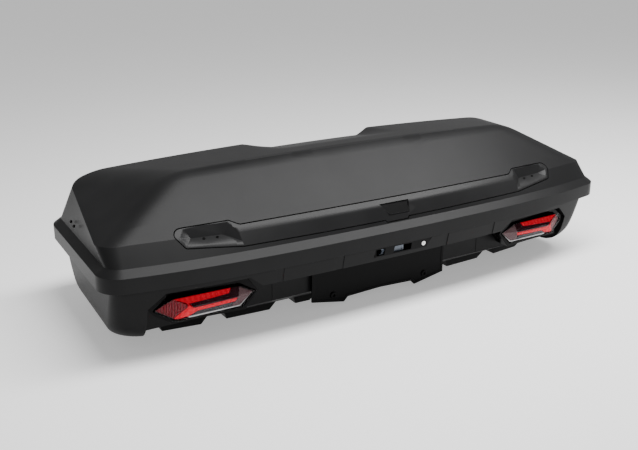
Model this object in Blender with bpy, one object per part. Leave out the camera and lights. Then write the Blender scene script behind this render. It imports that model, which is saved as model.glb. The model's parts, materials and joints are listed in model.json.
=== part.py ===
"""Rear cargo box with tail lamps, on a towbar platform.

A place on the box is given as (x, d, h): x to the right, d the depth behind the front
edge of the rim, h the height over the rim's upper edge. at() turns it into the part's
own frame, whose origin is the bottom centre of the whole object, +Y towards the car.
Pieces that come in pairs are built on the right side and mirrored for the left.
"""
import math

import bmesh
import bpy
from mathutils import Matrix, Vector

# ---- driving dimensions, metres -----------------------------------------------------
HALF_LENGTH = 0.75         # half the length of the rim at its widest
DEPTH = 0.545              # depth of the rim, front edge to back edge
COUPLING_REACH = 0.125     # the tow coupling stands this far out behind the rim
RIM_HEIGHT = 0.215         # rim's upper edge over the ground
SKIN = 0.004               # wall thickness of the two shells
GAP = 0.0003               # air between neighbours that touch
BAND = 0.0356              # height of the lid's vertical rim band
SIDE_TAPER = 0.032         # the ends lean inwards towards the car, radians
BOW, BOW_ENDS = 0.0423, 0.1034       # the front edge: d = BOW x^2 + BOW_ENDS x^4
FLANGE_IN, FLANGE_RISE = 0.020, 0.015
SEAT_INSET = 0.012         # base wall inside the rim, where the seal sits
STRIP_INSET = 0.028        # base wall under the rim
BASE_FLOOR = -0.190        # underside of the base
SKID_FOOT = -RIM_HEIGHT    # underside of the skids, on the ground

FRONT_CREASE = (0.043, 0.117, 0.056)   # d, its growth with x^2, and h of the lid's front crease
BACK_CREASE = (0.200, -0.085, 0.181)   # the same for the highest line of the lid
END_CREASE = (0.733, 0.1057)           # x at d 0.09 and its loss per metre of depth
LID_BACK = 0.470                       # depth of the lid's upper back edge
SCOOP = (0.142, 0.204, 0.041)          # half widths and depth of the hollow on the car side
TOP_FALL, TOP_BOW, SCOOP_DIP = 0.122, 0.042, 0.10  # slopes of the top; its bow with x^2
END_HEIGHT, END_RISE, END_SLOPE = 0.048, 0.150, 0.50
TOP_BLEND, END_BLEND = 0.012, 0.022    # fillets between the main face, the top and the ends

TRIM_DEPTH = 0.015         # thickness of the handle trim under the lid's surface
TRIM_GAP = 0.0015          # shadow gap round it
TRIM_TILT = math.radians(50)           # the trim lies square to this direction

HINGE = (0.537, -0.045)    # d and h of the lid's hinge axis
HINGE_X = 0.45
STRUT_X = 0.684            # plane of the gas struts
STRUT_FOOT, STRUT_HEAD = (0.420, -0.130), (0.350, 0.035)
WALL_BACK = 0.104          # depth of the recessed wall between the lamps
WALL_FOOT = -0.159         # its lower edge, where the base turns in under itself
TOE = 0.153                # depth of the front edge of the base's underside, plus the bow
CHANNEL = (0.145, -0.125)  # half width and ceiling of the platform's channel
LOCK_S = 0.060             # place of the lid lock up the trim's tilted face
COVER_HINGE_S = 0.0755     # the cover's upper edge, up the same face
COVER_TOP = -0.0008        # face of the lock's cover, measured out of the trim's plane
COVER_THICK = 0.003
LATCH_STROKE = 0.022       # way of the latch bars from open to locked

FRONT_Y = -(DEPTH + COUPLING_REACH) / 2
HALF_STATIONS = (0, 0.11, 0.216, 0.31, 0.42, 0.56, 0.70, 0.85, 1)
SIDE_STATIONS = (0, 0.27, 0.5, 0.75, 1)
CORNER_STEPS = 2
CREASE_ROW = CORNER_STEPS + 1

parts = bpy.data.collections.new("cargo_box")
cutters = bpy.data.collections.new("cutters")


def at(x, d, h):
    return Vector((x, FRONT_Y + d, RIM_HEIGHT + h))


# ---- scene, materials and small tools ------------------------------------------------
def clear_scene():
    for obj in list(bpy.data.objects):
        bpy.data.objects.remove(obj, do_unlink=True)
    for collection in (parts, cutters):
        bpy.context.scene.collection.children.link(collection)


LOOKS = {
    "lid_plastic": ((0.060, 0.060, 0.062), 0.55, 0.0),
    "base_plastic": ((0.045, 0.045, 0.047), 0.60, 0.0),
    "trim_plastic": ((0.055, 0.055, 0.057), 0.50, 0.0),
    "panel_black": ((0.018, 0.018, 0.019), 0.40, 0.0),
    "lever_grey": ((0.23, 0.27, 0.33), 0.45, 0.0),
    "lamp_black": ((0.012, 0.012, 0.013), 0.25, 0.0),
    "lamp_red": ((0.60, 0.01, 0.015), 0.20, 0.0),
    "lamp_clear": ((0.90, 0.90, 0.92), 0.05, 0.0),
    "rubber": ((0.015, 0.015, 0.015), 0.80, 0.0),
    "zinc_steel": ((0.55, 0.55, 0.54), 0.35, 1.0),
    "black_steel": ((0.030, 0.030, 0.032), 0.45, 0.0),
    "lock_metal": ((0.75, 0.75, 0.74), 0.25, 1.0),
}


def finish(obj, look):
    """Gives a piece its own Principled material."""
    colour, roughness, metallic = LOOKS[look]
    material = bpy.data.materials.new(f"{obj.name}_{look}")
    material.use_nodes = True
    shader = material.node_tree.nodes["Principled BSDF"]
    shader.inputs["Base Color"].default_value = (*colour, 1.0)
    shader.inputs["Roughness"].default_value = roughness
    shader.inputs["Metallic"].default_value = metallic
    obj.data.materials.clear()
    obj.data.materials.append(material)
    return obj


def from_bmesh(name, bm, look=None):
    """Makes an object; one without a look is a cutter."""
    bmesh.ops.recalc_face_normals(bm, faces=bm.faces)
    mesh = bpy.data.meshes.new(name)
    bm.to_mesh(mesh)
    bm.free()
    obj = bpy.data.objects.new(name, mesh)
    if look:
        parts.objects.link(obj)
        return finish(obj, look)
    cutters.objects.link(obj)
    obj.hide_render = True
    obj.display_type = "WIRE"
    return obj


def box(name, low, high, look=None, bevel=0.0):
    """A box between two corners given as (x, d, h)."""
    low, high = at(*low), at(*high)
    bm = bmesh.new()
    bmesh.ops.create_cube(bm, size=1.0)
    bmesh.ops.scale(bm, vec=high - low, verts=bm.verts)
    bmesh.ops.translate(bm, vec=(low + high) / 2, verts=bm.verts)
    if bevel:
        bmesh.ops.bevel(bm, geom=bm.edges, offset=bevel, segments=1, affect="EDGES")
    return from_bmesh(name, bm, look)


def rod(name, start, end, radius, look=None, sides=16, end_radius=None):
    """A cylinder or cone between two (x, d, h) points."""
    start, end = at(*start), at(*end)
    axis = end - start
    turn = axis.to_track_quat("Z", "Y").to_matrix().to_4x4()
    bm = bmesh.new()
    bmesh.ops.create_cone(bm, cap_ends=True, segments=sides, radius1=radius,
                          radius2=radius if end_radius is None else end_radius,
                          depth=axis.length, matrix=Matrix.Translation((start + end) / 2) @ turn)
    return from_bmesh(name, bm, look)


def hull(name, points, look=None):
    """The convex solid round a set of (x, d, h) points."""
    bm = bmesh.new()
    for point in points:
        bm.verts.new(at(*point))
    result = bmesh.ops.convex_hull(bm, input=bm.verts)
    loose = {v for v in result["geom_interior"] if isinstance(v, bmesh.types.BMVert)}
    bmesh.ops.delete(bm, geom=list(loose), context="VERTS")
    return from_bmesh(name, bm, look)


def prism(name, outline, near, far, look=None):
    """A flat (x, h) outline carried along the depth from near to far."""
    bm = bmesh.new()
    front = [bm.verts.new(at(x, near, h)) for x, h in outline]
    back = [bm.verts.new(at(x, far, h)) for x, h in outline]
    close_tube(bm, front, back)
    return from_bmesh(name, bm, look)


def loft(name, rings, look=None):
    """Closed solid through matching rings of places, with flat ends."""
    bm = bmesh.new()
    loops = [[bm.verts.new(at(*p)) for p in ring] for ring in rings]
    bm.faces.new(loops[0])
    bm.faces.new(loops[-1])
    for first, second in zip(loops, loops[1:]):
        ring_faces(bm, first, second)
    bmesh.ops.triangulate(bm, faces=bm.faces)
    return from_bmesh(name, bm, look)


def close_tube(bm, first, last):
    """Caps two matching loops and joins them by quads."""
    count = len(first)
    bm.faces.new(first)
    bm.faces.new(last)
    for i in range(count):
        k = (i + 1) % count
        bm.faces.new((first[i], first[k], last[k], last[i]))


def boolean(obj, other, operation="DIFFERENCE"):
    modifier = obj.modifiers.new(operation.lower(), "BOOLEAN")
    modifier.operation = operation
    modifier.solver = "EXACT"
    modifier.object = other
    return obj


def settle(obj):
    """Replaces an object's mesh by its evaluated one, so that it can be copied."""
    bpy.context.view_layer.update()
    evaluated = obj.evaluated_get(bpy.context.evaluated_depsgraph_get())
    mesh = bpy.data.meshes.new_from_object(evaluated)
    obj.modifiers.clear()
    obj.data = mesh
    return obj


def pair(obj, look=None):
    """Names a right-hand piece _right and adds its mirror image as _left."""
    settle(obj)
    stem = obj.name
    obj.name = f"{stem}_right"
    bm = bmesh.new()
    bm.from_mesh(obj.data)
    bmesh.ops.scale(bm, vec=(-1, 1, 1), verts=bm.verts)
    bmesh.ops.reverse_faces(bm, faces=bm.faces)
    return obj, from_bmesh(f"{stem}_left", bm, look)


def carry(name, place, *pieces):
    """Parents pieces, or the empties of what they carry, to an empty on their joint's axis."""
    axis = bpy.data.objects.new(name, None)
    axis.empty_display_size = 0.03
    axis.location = at(*place)
    parts.objects.link(axis)
    bpy.context.view_layer.update()
    for piece in pieces:
        piece.parent = axis
        piece.matrix_parent_inverse = axis.matrix_world.inverted()
    return axis


# ---- plan outlines ------------------------------------------------------------------
def rim_front(x):
    return BOW * x ** 2 + BOW_ENDS * x ** 4


def crease_front(x):
    d, growth, _ = FRONT_CREASE
    return d + growth * x ** 2


def slope_of(curve, x):
    return (curve(x + 1e-4) - curve(x - 1e-4)) / 2e-4


def half_outline(front, half_width, taper, back, r_front, r_back):
    """Right half of a plan outline, as (x, d) from the front centre to the back centre."""
    start = half_width - r_front
    for _ in range(6):       # finds where the bowed front turns into its corner arc
        lean = math.atan(slope_of(front, start))
        start = half_width - r_front * (1 - math.sin(lean))
    centre = (start - r_front * math.sin(lean), front(start) + r_front * math.cos(lean))
    points = [(start * t, front(start * t)) for t in HALF_STATIONS]
    points += arc(centre, r_front, lean - math.pi / 2, taper)[1:]
    side_x = half_width - taper * (back - r_back)
    end = (side_x - r_back * math.cos(taper), back - r_back)
    back_arc = arc(end, r_back, taper, math.pi / 2)
    (x0, d0), (x1, d1) = points[-1], back_arc[0]
    points += [(x0 + (x1 - x0) * t, d0 + (d1 - d0) * t) for t in SIDE_STATIONS[1:-1]]
    points += back_arc
    return points + [(end[0] * t, back) for t in reversed(HALF_STATIONS[:-1])]


def arc(centre, radius, first, last):
    steps = 2 * CORNER_STEPS
    angles = [first + (last - first) * i / steps for i in range(steps + 1)]
    return [(centre[0] + radius * math.cos(a), centre[1] + radius * math.sin(a)) for a in angles]


def rim_ring(inset, h, r_front=0.060, r_back=0.070):
    """A closed ring parallel to the rim, inset by some amount, at height h."""
    r_front, r_back = max(r_front - inset, 0.02), max(r_back - inset, 0.02)
    half = half_outline(lambda x: rim_front(x) + inset, HALF_LENGTH - inset, SIDE_TAPER,
                        DEPTH - inset, r_front, r_back)
    return [(x, d, h) for x, d in mirror_half(half)]


def mirror_half(half):
    return half + [(-x, d) for x, d in reversed(half[1:-1])]


# ---- the lid's upper surface --------------------------------------------------------
def soft_min(a, b, blend):
    """The lower of two heights, with a fillet of roughly the blend's size between them."""
    t = max(blend - abs(a - b), 0.0) / blend
    return min(a, b) - t * t * blend / 4


def scoop_share(x):
    inner, outer, _ = SCOOP
    return min(max((outer - abs(x)) / (outer - inner), 0.0), 1.0)


def lid_height(x, d):
    """Height of the lid over the rim: a sloped main face, a flatter top, two end slopes."""
    rise = (BACK_CREASE[2] - FRONT_CREASE[2]) / (BACK_CREASE[0] - FRONT_CREASE[0])
    main = FRONT_CREASE[2] + (d - crease_front(x)) * rise
    top = BACK_CREASE[2] - TOP_FALL * (d - BACK_CREASE[0]) - TOP_BOW * x * x
    top -= scoop_share(x) * max(d - 0.29, 0.0) * SCOOP_DIP
    end_x, end_loss = END_CREASE
    edge = end_x - end_loss * (d - 0.09)
    end = END_HEIGHT + END_RISE * (d - 0.09) + (edge - abs(x)) * END_SLOPE
    return soft_min(soft_min(main, top, TOP_BLEND), end, END_BLEND)


def crease_ring(shrink, drop):
    """The ring where the lid's walls meet its upper surface."""
    end_x, taper = END_CREASE
    half = half_outline(lambda x: crease_front(x) + shrink, end_x - shrink, taper * 0.9,
                        LID_BACK - shrink, 0.050, 0.040)
    ring = []
    for x, d in mirror_half(half):
        if d > LID_BACK - 0.01:
            d -= SCOOP[2] * scoop_share(x)
        ring.append((x, d, lid_height(x, d) - drop))
    return ring


def ring_faces(bm, lower, upper):
    count = len(lower)
    for i in range(count):
        k = (i + 1) % count
        bm.faces.new((lower[i], lower[k], upper[k], upper[i]))


def cover_faces(bm, ring, places, drop):
    """Fills a ring with a grid that follows the lid's height, one row on the back crease."""
    across = len(HALF_STATIONS) - 1 + CORNER_STEPS
    deep = 2 * CORNER_STEPS + len(SIDE_STATIONS) - 1
    front = [(i - across) % len(ring) for i in range(2 * across + 1)]
    back = [(-(across + deep) - i) % len(ring) for i in range(2 * across + 1)]
    right = [across + j for j in range(deep + 1)]
    left = [(-across - j) % len(ring) for j in range(deep + 1)]
    grid = [[None] * (deep + 1) for _ in range(2 * across + 1)]
    for i in range(2 * across + 1):
        grid[i][0], grid[i][deep] = ring[front[i]], ring[back[i]]
    for j in range(deep + 1):
        grid[0][j], grid[-1][j] = ring[left[j]], ring[right[j]]
    d_first, d_last = places[left[0]][1], places[left[-1]][1]
    shares = [(places[left[j]][1] - d_first) / (d_last - d_first) for j in range(deep + 1)]
    for i in range(1, 2 * across):
        x0, d0, _ = places[front[i]]
        x1, d1, _ = places[back[i]]
        for j in range(1, deep):
            row = crease_share(shares, j, x0, d0, d1)
            u = i / (2 * across)
            edge = (1 - u) * places[left[j]][0] + u * places[right[j]][0]
            straight = (1 - u) * places[left[0]][0] + u * places[right[0]][0]
            closing = (1 - u) * places[left[-1]][0] + u * places[right[-1]][0]
            lean = edge - (straight + (closing - straight) * shares[j])
            x = x0 + (x1 - x0) * shares[j] + lean
            d = d0 + (d1 - d0) * row
            grid[i][j] = bm.verts.new(at(x, d, lid_height(x, d) - drop))
    for i in range(2 * across):
        for j in range(deep):
            bm.faces.new((grid[i][j], grid[i + 1][j], grid[i + 1][j + 1], grid[i][j + 1]))


def crease_share(shares, row, x, d0, d1):
    """Moves the rows of the cover so that one of them lies on the back crease."""
    wanted = (BACK_CREASE[0] + BACK_CREASE[1] * x * x - d0) / (d1 - d0)
    known = shares[CREASE_ROW]
    wanted = max(wanted, known * 0.6)
    if shares[row] <= known:
        return shares[row] * wanted / known
    return wanted + (shares[row] - known) * (1 - wanted) / (1 - known)


def lid_solid(name, inset, sink, lower, look=None):
    """The lid's outer form (inset 0), or the hollow under it, as a closed solid."""
    rings = [rim_ring(inset, lower), rim_ring(inset, -sink * 0.4),
             rim_ring(FLANGE_IN + inset, FLANGE_RISE - sink), crease_ring(inset, sink)]
    bm = bmesh.new()
    loops = [[bm.verts.new(at(*p)) for p in ring] for ring in rings]
    bm.faces.new(loops[0])
    for lower_loop, upper_loop in zip(loops, loops[1:]):
        ring_faces(bm, lower_loop, upper_loop)
    cover_faces(bm, loops[-1], rings[-1], sink)
    return from_bmesh(name, bm, look)


# ---- handle trim --------------------------------------------------------------------
def trim_outline(grow):
    """Right half of the trim's outline: x and the distance s up the tilted face."""
    low = [(x, 0.0348 + 0.0521 * x * x - grow) for x in (0.0, 0.14, 0.28, 0.42)]
    end = [(0.552 + grow * 0.4, 0.0678 - grow), (0.568 + grow, 0.0923),
           (0.544 + grow * 0.4, 0.1192 + grow), (0.436 - grow * 0.5, 0.1137 + grow)]
    high = [(x, 0.0903 + 0.0434 * x * x + grow) for x in (0.414, 0.28, 0.14, 0.0)]
    return low + end + high


def tilted(x, s, n):
    """A point at distance s up the trim's face and n out of it."""
    c, k = math.cos(TRIM_TILT), math.sin(TRIM_TILT)
    return (x, s * c - n * k, s * k + n * c)


def trim_prism(name, grow, look=None, inner=-0.08, outer=0.08):
    half = trim_outline(grow)
    outline = half + [(-x, s) for x, s in reversed(half[1:-1])]
    bm = bmesh.new()
    near = [bm.verts.new(at(*tilted(x, s, outer))) for x, s in outline]
    far = [bm.verts.new(at(*tilted(x, s, inner))) for x, s in outline]
    close_tube(bm, near, far)
    return from_bmesh(name, bm, look)


def sunk_lid(name, depth):
    """The lid's outer form moved into itself, square to the trim's face."""
    solid = lid_solid(name, 0.0, 0.0, -0.1)
    _, back, down = tilted(0, 0, -depth)
    solid.location = (0, back, down)
    return solid


def lid_shell():
    shell = lid_solid("lid_shell", 0.0, 0.0, -BAND, "lid_plastic")
    channel = boolean(trim_prism("trim_channel", TRIM_GAP), sunk_lid("channel_floor", TRIM_DEPTH + 0.001))
    boolean(shell, settle(channel))
    hollow = lid_solid("lid_hollow", SKIN, SKIN * 1.35, -BAND - 0.05)
    bulge = boolean(trim_prism("trim_bulge", TRIM_GAP + SKIN),
                    sunk_lid("bulge_floor", TRIM_DEPTH + SKIN))
    boolean(hollow, settle(bulge))
    boolean(shell, settle(hollow))
    boolean(shell, barrel_hole("lid_barrel_hole"))
    return shell


def barrel_hole(name):
    return rod(name, *lock_line(-0.060, 0.030), 0.0118, sides=20)


def lock_line(start, end):
    """Two points on the lid lock's axis, by their height over the trim's face."""
    return tilted(0.0, LOCK_S, start), tilted(0.0, LOCK_S, end)


def handle_trim():
    """The bar along the front crease, with a grip pocket and two screw seats at each end."""
    trim = trim_prism("handle_trim", 0.0, "trim_plastic")
    boolean(trim, lid_solid("trim_face", 0.0, 0.0, -0.1), "INTERSECT")
    boolean(trim, sunk_lid("trim_back", TRIM_DEPTH))
    boolean(trim, settle(trim_hollow()))
    for pocket in pair(grip_pocket()):
        boolean(trim, pocket)
    boolean(trim, barrel_hole("trim_barrel_hole"))
    boolean(trim, cover_seat())
    return trim


def trim_hollow():
    """Leaves the middle of the trim as a 3 mm skin that is open at the back."""
    low = [(x, 0.0348 + 0.0521 * x * x + 0.003) for x in (0.39, 0.2, 0.055)]
    high = [(x, 0.0903 + 0.0434 * x * x - 0.003) for x in (0.055, 0.2, 0.39)]
    bm = bmesh.new()
    for side in (1, -1):
        outline = [(side * x, s) for x, s in low + high]
        near = [bm.verts.new(at(*tilted(x, s, 0.08))) for x, s in outline]
        far = [bm.verts.new(at(*tilted(x, s, -0.08))) for x, s in outline]
        close_tube(bm, near, far)
    hollow = from_bmesh("trim_hollow", bm)
    return boolean(hollow, sunk_lid("trim_skin", 0.003), "INTERSECT")


def grip_pocket():
    """Flat floor under the crease, a steep back wall and two slanted ends."""
    floor = [(0.429, 0.030, 0.0385), (0.456, 0.079, 0.0475), (0.528, 0.082, 0.0490),
             (0.546, 0.036, 0.0395)]
    mouth = [(0.409, 0.020, 0.085), (0.436, 0.100, 0.095), (0.549, 0.112, 0.095),
             (0.560, 0.020, 0.085)]
    return hull("grip_pocket", floor + mouth)


def cover_outline(grow):
    return [(-0.020 - grow, 0.0445 - grow), (0.040 + grow, 0.0445 - grow),
            (0.0475 + grow, COVER_HINGE_S + grow), (-0.040 - grow, COVER_HINGE_S + grow)]


def cover_prism(name, grow, low, high, look=None, grow_back=None):
    """The cover's outline, grown at its face and perhaps by another amount at its back."""
    grow_back = grow if grow_back is None else grow_back
    bm = bmesh.new()
    near = [bm.verts.new(at(*tilted(x, s, high))) for x, s in cover_outline(grow)]
    far = [bm.verts.new(at(*tilted(x, s, low))) for x, s in cover_outline(grow_back)]
    close_tube(bm, near, far)
    return from_bmesh(name, bm, look)


def cover_seat():
    return cover_prism("cover_seat", 0.0008, COVER_TOP - 0.0050, 0.05)


def lock_cover():
    """Blank plate over the key; it hinges along its upper edge, so its back is smaller."""
    cover = cover_prism("lock_cover", 0.0, COVER_TOP - COVER_THICK, COVER_TOP, "panel_black",
                        grow_back=-COVER_THICK)
    return carry("lock_cover_axis", tilted(0.0, COVER_HINGE_S, COVER_TOP), cover)


def lid_lock():
    """Key barrel with a cam arm that points down to the two latch bars."""
    end, face = lock_line(-0.0400, -0.0046)
    barrel = rod("lock_barrel", end, face, 0.0110, "lock_metal", sides=20)
    arm = [tilted(x, LOCK_S - s, n) for n in (-0.0395, -0.0365)
           for x, s in ((-0.007, 0.0), (0.007, 0.0), (-0.004, 0.018), (0.004, 0.018))]
    boolean(barrel, hull("cam_arm", arm), "UNION")
    slot = [tilted(x, LOCK_S + s, n) for x in (-0.0008, 0.0008) for s in (-0.004, 0.004)
            for n in (-0.0086, 0.0)]
    boolean(barrel, hull("key_slot", slot))
    return carry("lock_barrel_axis", face, barrel)


def latch_bars():
    """Flat bar in the lid, with a foot that slides under a tongue on the base."""
    bar = box("latch_bar", (0.030, 0.0520, -0.004), (0.335, 0.0560, 0.008), "zinc_steel")
    boolean(bar, box("latch_tab", (0.325, 0.0520, -0.030), (0.335, 0.0560, -0.003)), "UNION")
    boolean(bar, box("latch_foot", (0.330, 0.0480, -0.030), (0.346, 0.0560, -0.025)), "UNION")
    axes = []
    for side, piece in zip((1, -1), pair(bar, "zinc_steel")):
        axes.append(carry(f"{piece.name}_axis", (side * 0.03, 0.054, 0.002), piece))
    start = 0.335 + LATCH_STROKE + 0.0015
    tongue = box("striker", (start, 0.0460, -0.0225), (0.392, 0.0590, -0.0195), "zinc_steel")
    boolean(tongue, box("striker_leaf", (start, 0.0450, -0.058), (0.392, 0.0474, -0.0200)), "UNION")
    pair(tongue, "zinc_steel")
    return axes


def lid_frame():
    """Stiffener behind the handle trim that carries the latch bars."""
    frame = box("lid_frame", (-0.54, 0.0640, -0.010), (0.54, 0.0665, 0.010), "black_steel")
    boolean(frame, box("frame_shelf", (-0.54, 0.0650, 0.0075), (0.54, 0.0800, 0.010)), "UNION")
    guide = box("latch_guide", (0.150, 0.0480, -0.008), (0.180, 0.0637, 0.012), "panel_black")
    boolean(guide, box("guide_slot", (0.14, 0.0515, -0.0045), (0.19, 0.0565, 0.0085)))
    outer_guide = box("latch_guide_outer", (0.290, 0.0480, -0.008), (0.310, 0.0637, 0.012), "panel_black")
    boolean(outer_guide, box("guide_slot_outer", (0.28, 0.0515, -0.0045), (0.32, 0.0565, 0.0085)))
    pieces = [frame]
    pieces += pair(guide, "panel_black")
    pieces += pair(outer_guide, "panel_black")
    return pieces


# ---- base ---------------------------------------------------------------------------
# h, inset of the long walls, inset of the end walls, corner radius
BASE_PROFILE = ((-0.048, 0.0280, 0.0280, 0.034), (-0.085, 0.0355, 0.0285, 0.044),
                (-0.120, 0.0430, 0.0300, 0.056), (-0.148, 0.0530, 0.0330, 0.065),
                (-0.170, 0.0700, 0.0420, 0.073), (-0.184, 0.0920, 0.0600, 0.078),
                (BASE_FLOOR, 0.1080, 0.0770, 0.080))


def base_ring(h, inset, end_inset, radius):
    half = half_outline(lambda x: rim_front(x) + inset, HALF_LENGTH - end_inset, SIDE_TAPER,
                        DEPTH - inset, radius, radius)
    return [(x, d, h) for x, d in mirror_half(half)]


def base_solid(name, thick, look=None):
    """The base's outer form, or with a thickness the hollow inside it."""
    if thick:
        top = [(0.05, SEAT_INSET + thick), (-0.0295, SEAT_INSET + thick),
               (-0.0315, STRIP_INSET + thick)]
    else:
        top = [(-0.002, SEAT_INSET), (-0.030, SEAT_INSET), (-0.030, 0.0055), (-0.034, 0.0055),
               (-0.036, STRIP_INSET)]
    rings = [rim_ring(inset, h) for h, inset in top]
    for h, inset, end_inset, radius in BASE_PROFILE:
        rings.append(base_ring(h + thick, inset + thick, end_inset + thick, radius - thick))
    return loft(name, rings, look)


def recess_outline(grow):
    """The front recess from the front: open below, and stepped up round each lamp."""
    right = [(0.0, -0.085 + grow), (0.372, -0.085 + grow), (0.406 - grow * 0.4, -0.057 + grow),
             (0.607 + grow * 0.4, -0.060 + grow), (0.648 + grow, -0.096), (0.648 + grow, -0.26),
             (0.0, -0.26)]
    return right + [(-x, h) for x, h in reversed(right[1:-1])]


def recess_cutter(name, grow):
    """What the recess takes away: up to the wall, and under it a slope to the underside."""
    wall, foot, floor = WALL_BACK + grow, WALL_FOOT + grow * 0.3, BASE_FLOOR + grow
    beyond = 1.6               # the slope runs on through the underside
    rings = []
    for i in range(17):
        x = 0.66 * (i / 8 - 1)
        toe = TOE + grow * 0.3 + rim_front(x)
        end = (wall + (toe - wall) * beyond, foot + (floor - foot) * beyond)
        section = ((-0.1, 0.0), (wall, 0.0), (wall, foot), end, (-0.1, end[1]))
        rings.append([(x, d, h) for d, h in section])
    cutter = loft(name, rings)
    boolean(cutter, prism(f"{name}_outline", recess_outline(grow), -0.2, 0.3), "INTERSECT")
    return settle(cutter)


def base_shell():
    shell = base_solid("base_shell", 0.0, "base_plastic")
    hollow = base_solid("base_hollow", SKIN)
    half, ceiling = CHANNEL
    boolean(hollow, recess_cutter("recess_wall", SKIN))
    boolean(hollow, box("channel_wall", (-half - SKIN, 0.05, -0.3), (half + SKIN, 0.7, ceiling + SKIN)))
    boolean(shell, settle(hollow))
    boolean(shell, recess_cutter("front_recess", 0.0))
    boolean(shell, box("platform_channel", (-half, 0.05, -0.3), (half, 0.7, ceiling)))
    boolean(shell, prism("release_opening", bezel_outline(0.0005), -0.1, 0.06))
    for notch in pair(box("hinge_notch", (HINGE_X - 0.048, 0.5335, -0.1), (HINGE_X + 0.048, 0.6, 0.1))):
        boolean(shell, notch)
    return shell


def rim_seal():
    """Rubber seal on the base's edge, under the lid's flange."""
    section = ((0.0105, -0.0017), (0.0175, -0.0017), (0.0175, 0.0050), (0.0105, 0.0005))
    bm = bmesh.new()
    loops = [[bm.verts.new(at(*p)) for p in rim_ring(inset, h)] for inset, h in section]
    for first, second in zip(loops, loops[1:] + loops[:1]):
        ring_faces(bm, first, second)
    return from_bmesh("rim_seal", bm, "rubber")


def floor_mats():
    """One thin mat on each half of the floor, clear of the rounded lower edges."""
    mat = box("floor_mat", (0.165, 0.175, -0.1855), (0.520, 0.385, -0.1825), "rubber", bevel=0.001)
    pair(mat, "rubber")


def skids():
    """Three hollow runners on each side, all the way under the base."""
    for name, inner, outer in (("skid_inner", 0.158, 0.226), ("skid_middle", 0.277, 0.420),
                               ("skid_outer", 0.463, 0.585)):
        low, high = SKID_FOOT, BASE_FLOOR - GAP
        slant, wall, back = (high - low) * 0.5, 0.014, 0.405
        points = []
        for x, way in ((inner, 1), (outer, -1)):
            front = TOE + 0.001 + rim_front(x)
            points += [(x, front, high), (x, back, high)]
            points += [(x + way * slant, front + slant, low), (x + way * slant, back - slant, low)]
        skid = hull(name, points, "panel_black")
        front = TOE + rim_front(outer) + slant + wall
        boolean(skid, box(f"{name}_hollow", (inner + wall, front, low + 0.006),
                          (outer - wall, back - wall, high + 0.02)))
        pair(skid, "panel_black")


def plate_panel():
    """Dark centre panel with two lower feet; it hides the platform's front beam."""
    right = [(0.0, -0.0862), (0.196, -0.0862), (0.209, -0.100), (0.209, -0.186),
             (0.113, -0.204), (0.101, -0.192), (0.0, -0.188)]
    outline = right + [(-x, h) for x, h in reversed(right[1:-1])]
    panel = prism("plate_panel", outline, 0.0925, 0.0975, "panel_black")
    pair(rod("panel_screw", (0.145, 0.0885, -0.179), (0.145, 0.0922, -0.179), 0.009, "black_steel"),
         "black_steel")
    return panel


# ---- lamps --------------------------------------------------------------------------
LENS_RIM = ((0.597, 0.055, -0.075), (0.634, 0.078, -0.105), (0.586, 0.059, -0.134),
            (0.419, 0.059, -0.134), (0.384, 0.057, -0.099), (0.424, 0.050, -0.075))
LENS_RIDGE = ((0.555, 0.036, -0.095), (0.440, 0.040, -0.097))


def shrunk(points, amount, back):
    """Pulls points towards the lens's middle and away from the front."""
    middle_x, middle_h = 0.508, -0.103
    result = []
    for x, d, h in points:
        span = math.hypot(x - middle_x, h - middle_h)
        share = max(span - amount, 0.0) / span
        result.append((middle_x + (x - middle_x) * share, d + back, middle_h + (h - middle_h) * share))
    return result


def lamps():
    """Black housing, red light guide and faceted clear lens on each side."""
    back = [(x, 0.088, h) for x, _, h in LENS_RIM]
    lens = hull("lamp_lens", [*LENS_RIM, *LENS_RIDGE, *back], "lamp_clear")
    inner_rim = shrunk(LENS_RIM, 0.0035, 0.0025)
    inner_ridge = shrunk(LENS_RIDGE, 0.001, 0.003)
    inner_back = [(x, 0.10, h) for x, _, h in inner_rim]
    boolean(lens, hull("lens_hollow", [*inner_rim, *inner_ridge, *inner_back]))
    pair(lens, "lamp_clear")
    guide_rim = shrunk(LENS_RIM, 0.0075, 0.006)
    guide_ridge = shrunk(LENS_RIDGE, 0.006, 0.010)
    guide_back = [(x, 0.0875, h) for x, _, h in guide_rim]
    pair(hull("lamp_light_guide", [*guide_rim, *guide_ridge, *guide_back], "lamp_red"), "lamp_red")
    outline = [(0.3775, -0.0995), (0.4075, -0.0605), (0.6055, -0.0625), (0.6455, -0.097),
               (0.6300, -0.118), (0.592, -0.1415), (0.412, -0.1415)]
    housing = hull("lamp_housing", lamp_front(outline) + [(x, WALL_BACK - GAP, h) for x, h in outline],
                   "lamp_black")
    seat = [(x, 0.02, h) for x, _, h in shrunk(LENS_RIM, -GAP, 0)]
    seat += [(x, 0.0885, h) for x, _, h in shrunk(LENS_RIM, -GAP, 0)]
    boolean(housing, hull("lamp_seat", seat))
    pair(housing, "lamp_black")


def lamp_front(outline):
    """The housing's front face leans back towards the outer end, with the base's bow."""
    return [(x, 0.058 + max(x - 0.45, 0.0) * 0.12, h) for x, h in outline]


# ---- release lever and its key ------------------------------------------------------
def bezel_outline(grow):
    return [(-0.061 - grow, -0.0735 - grow), (0.1010 + grow * 0.7, -0.0735 - grow),
            (0.1160 + grow * 0.7, -0.0505 + grow), (-0.061 - grow, -0.0505 + grow)]


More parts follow.
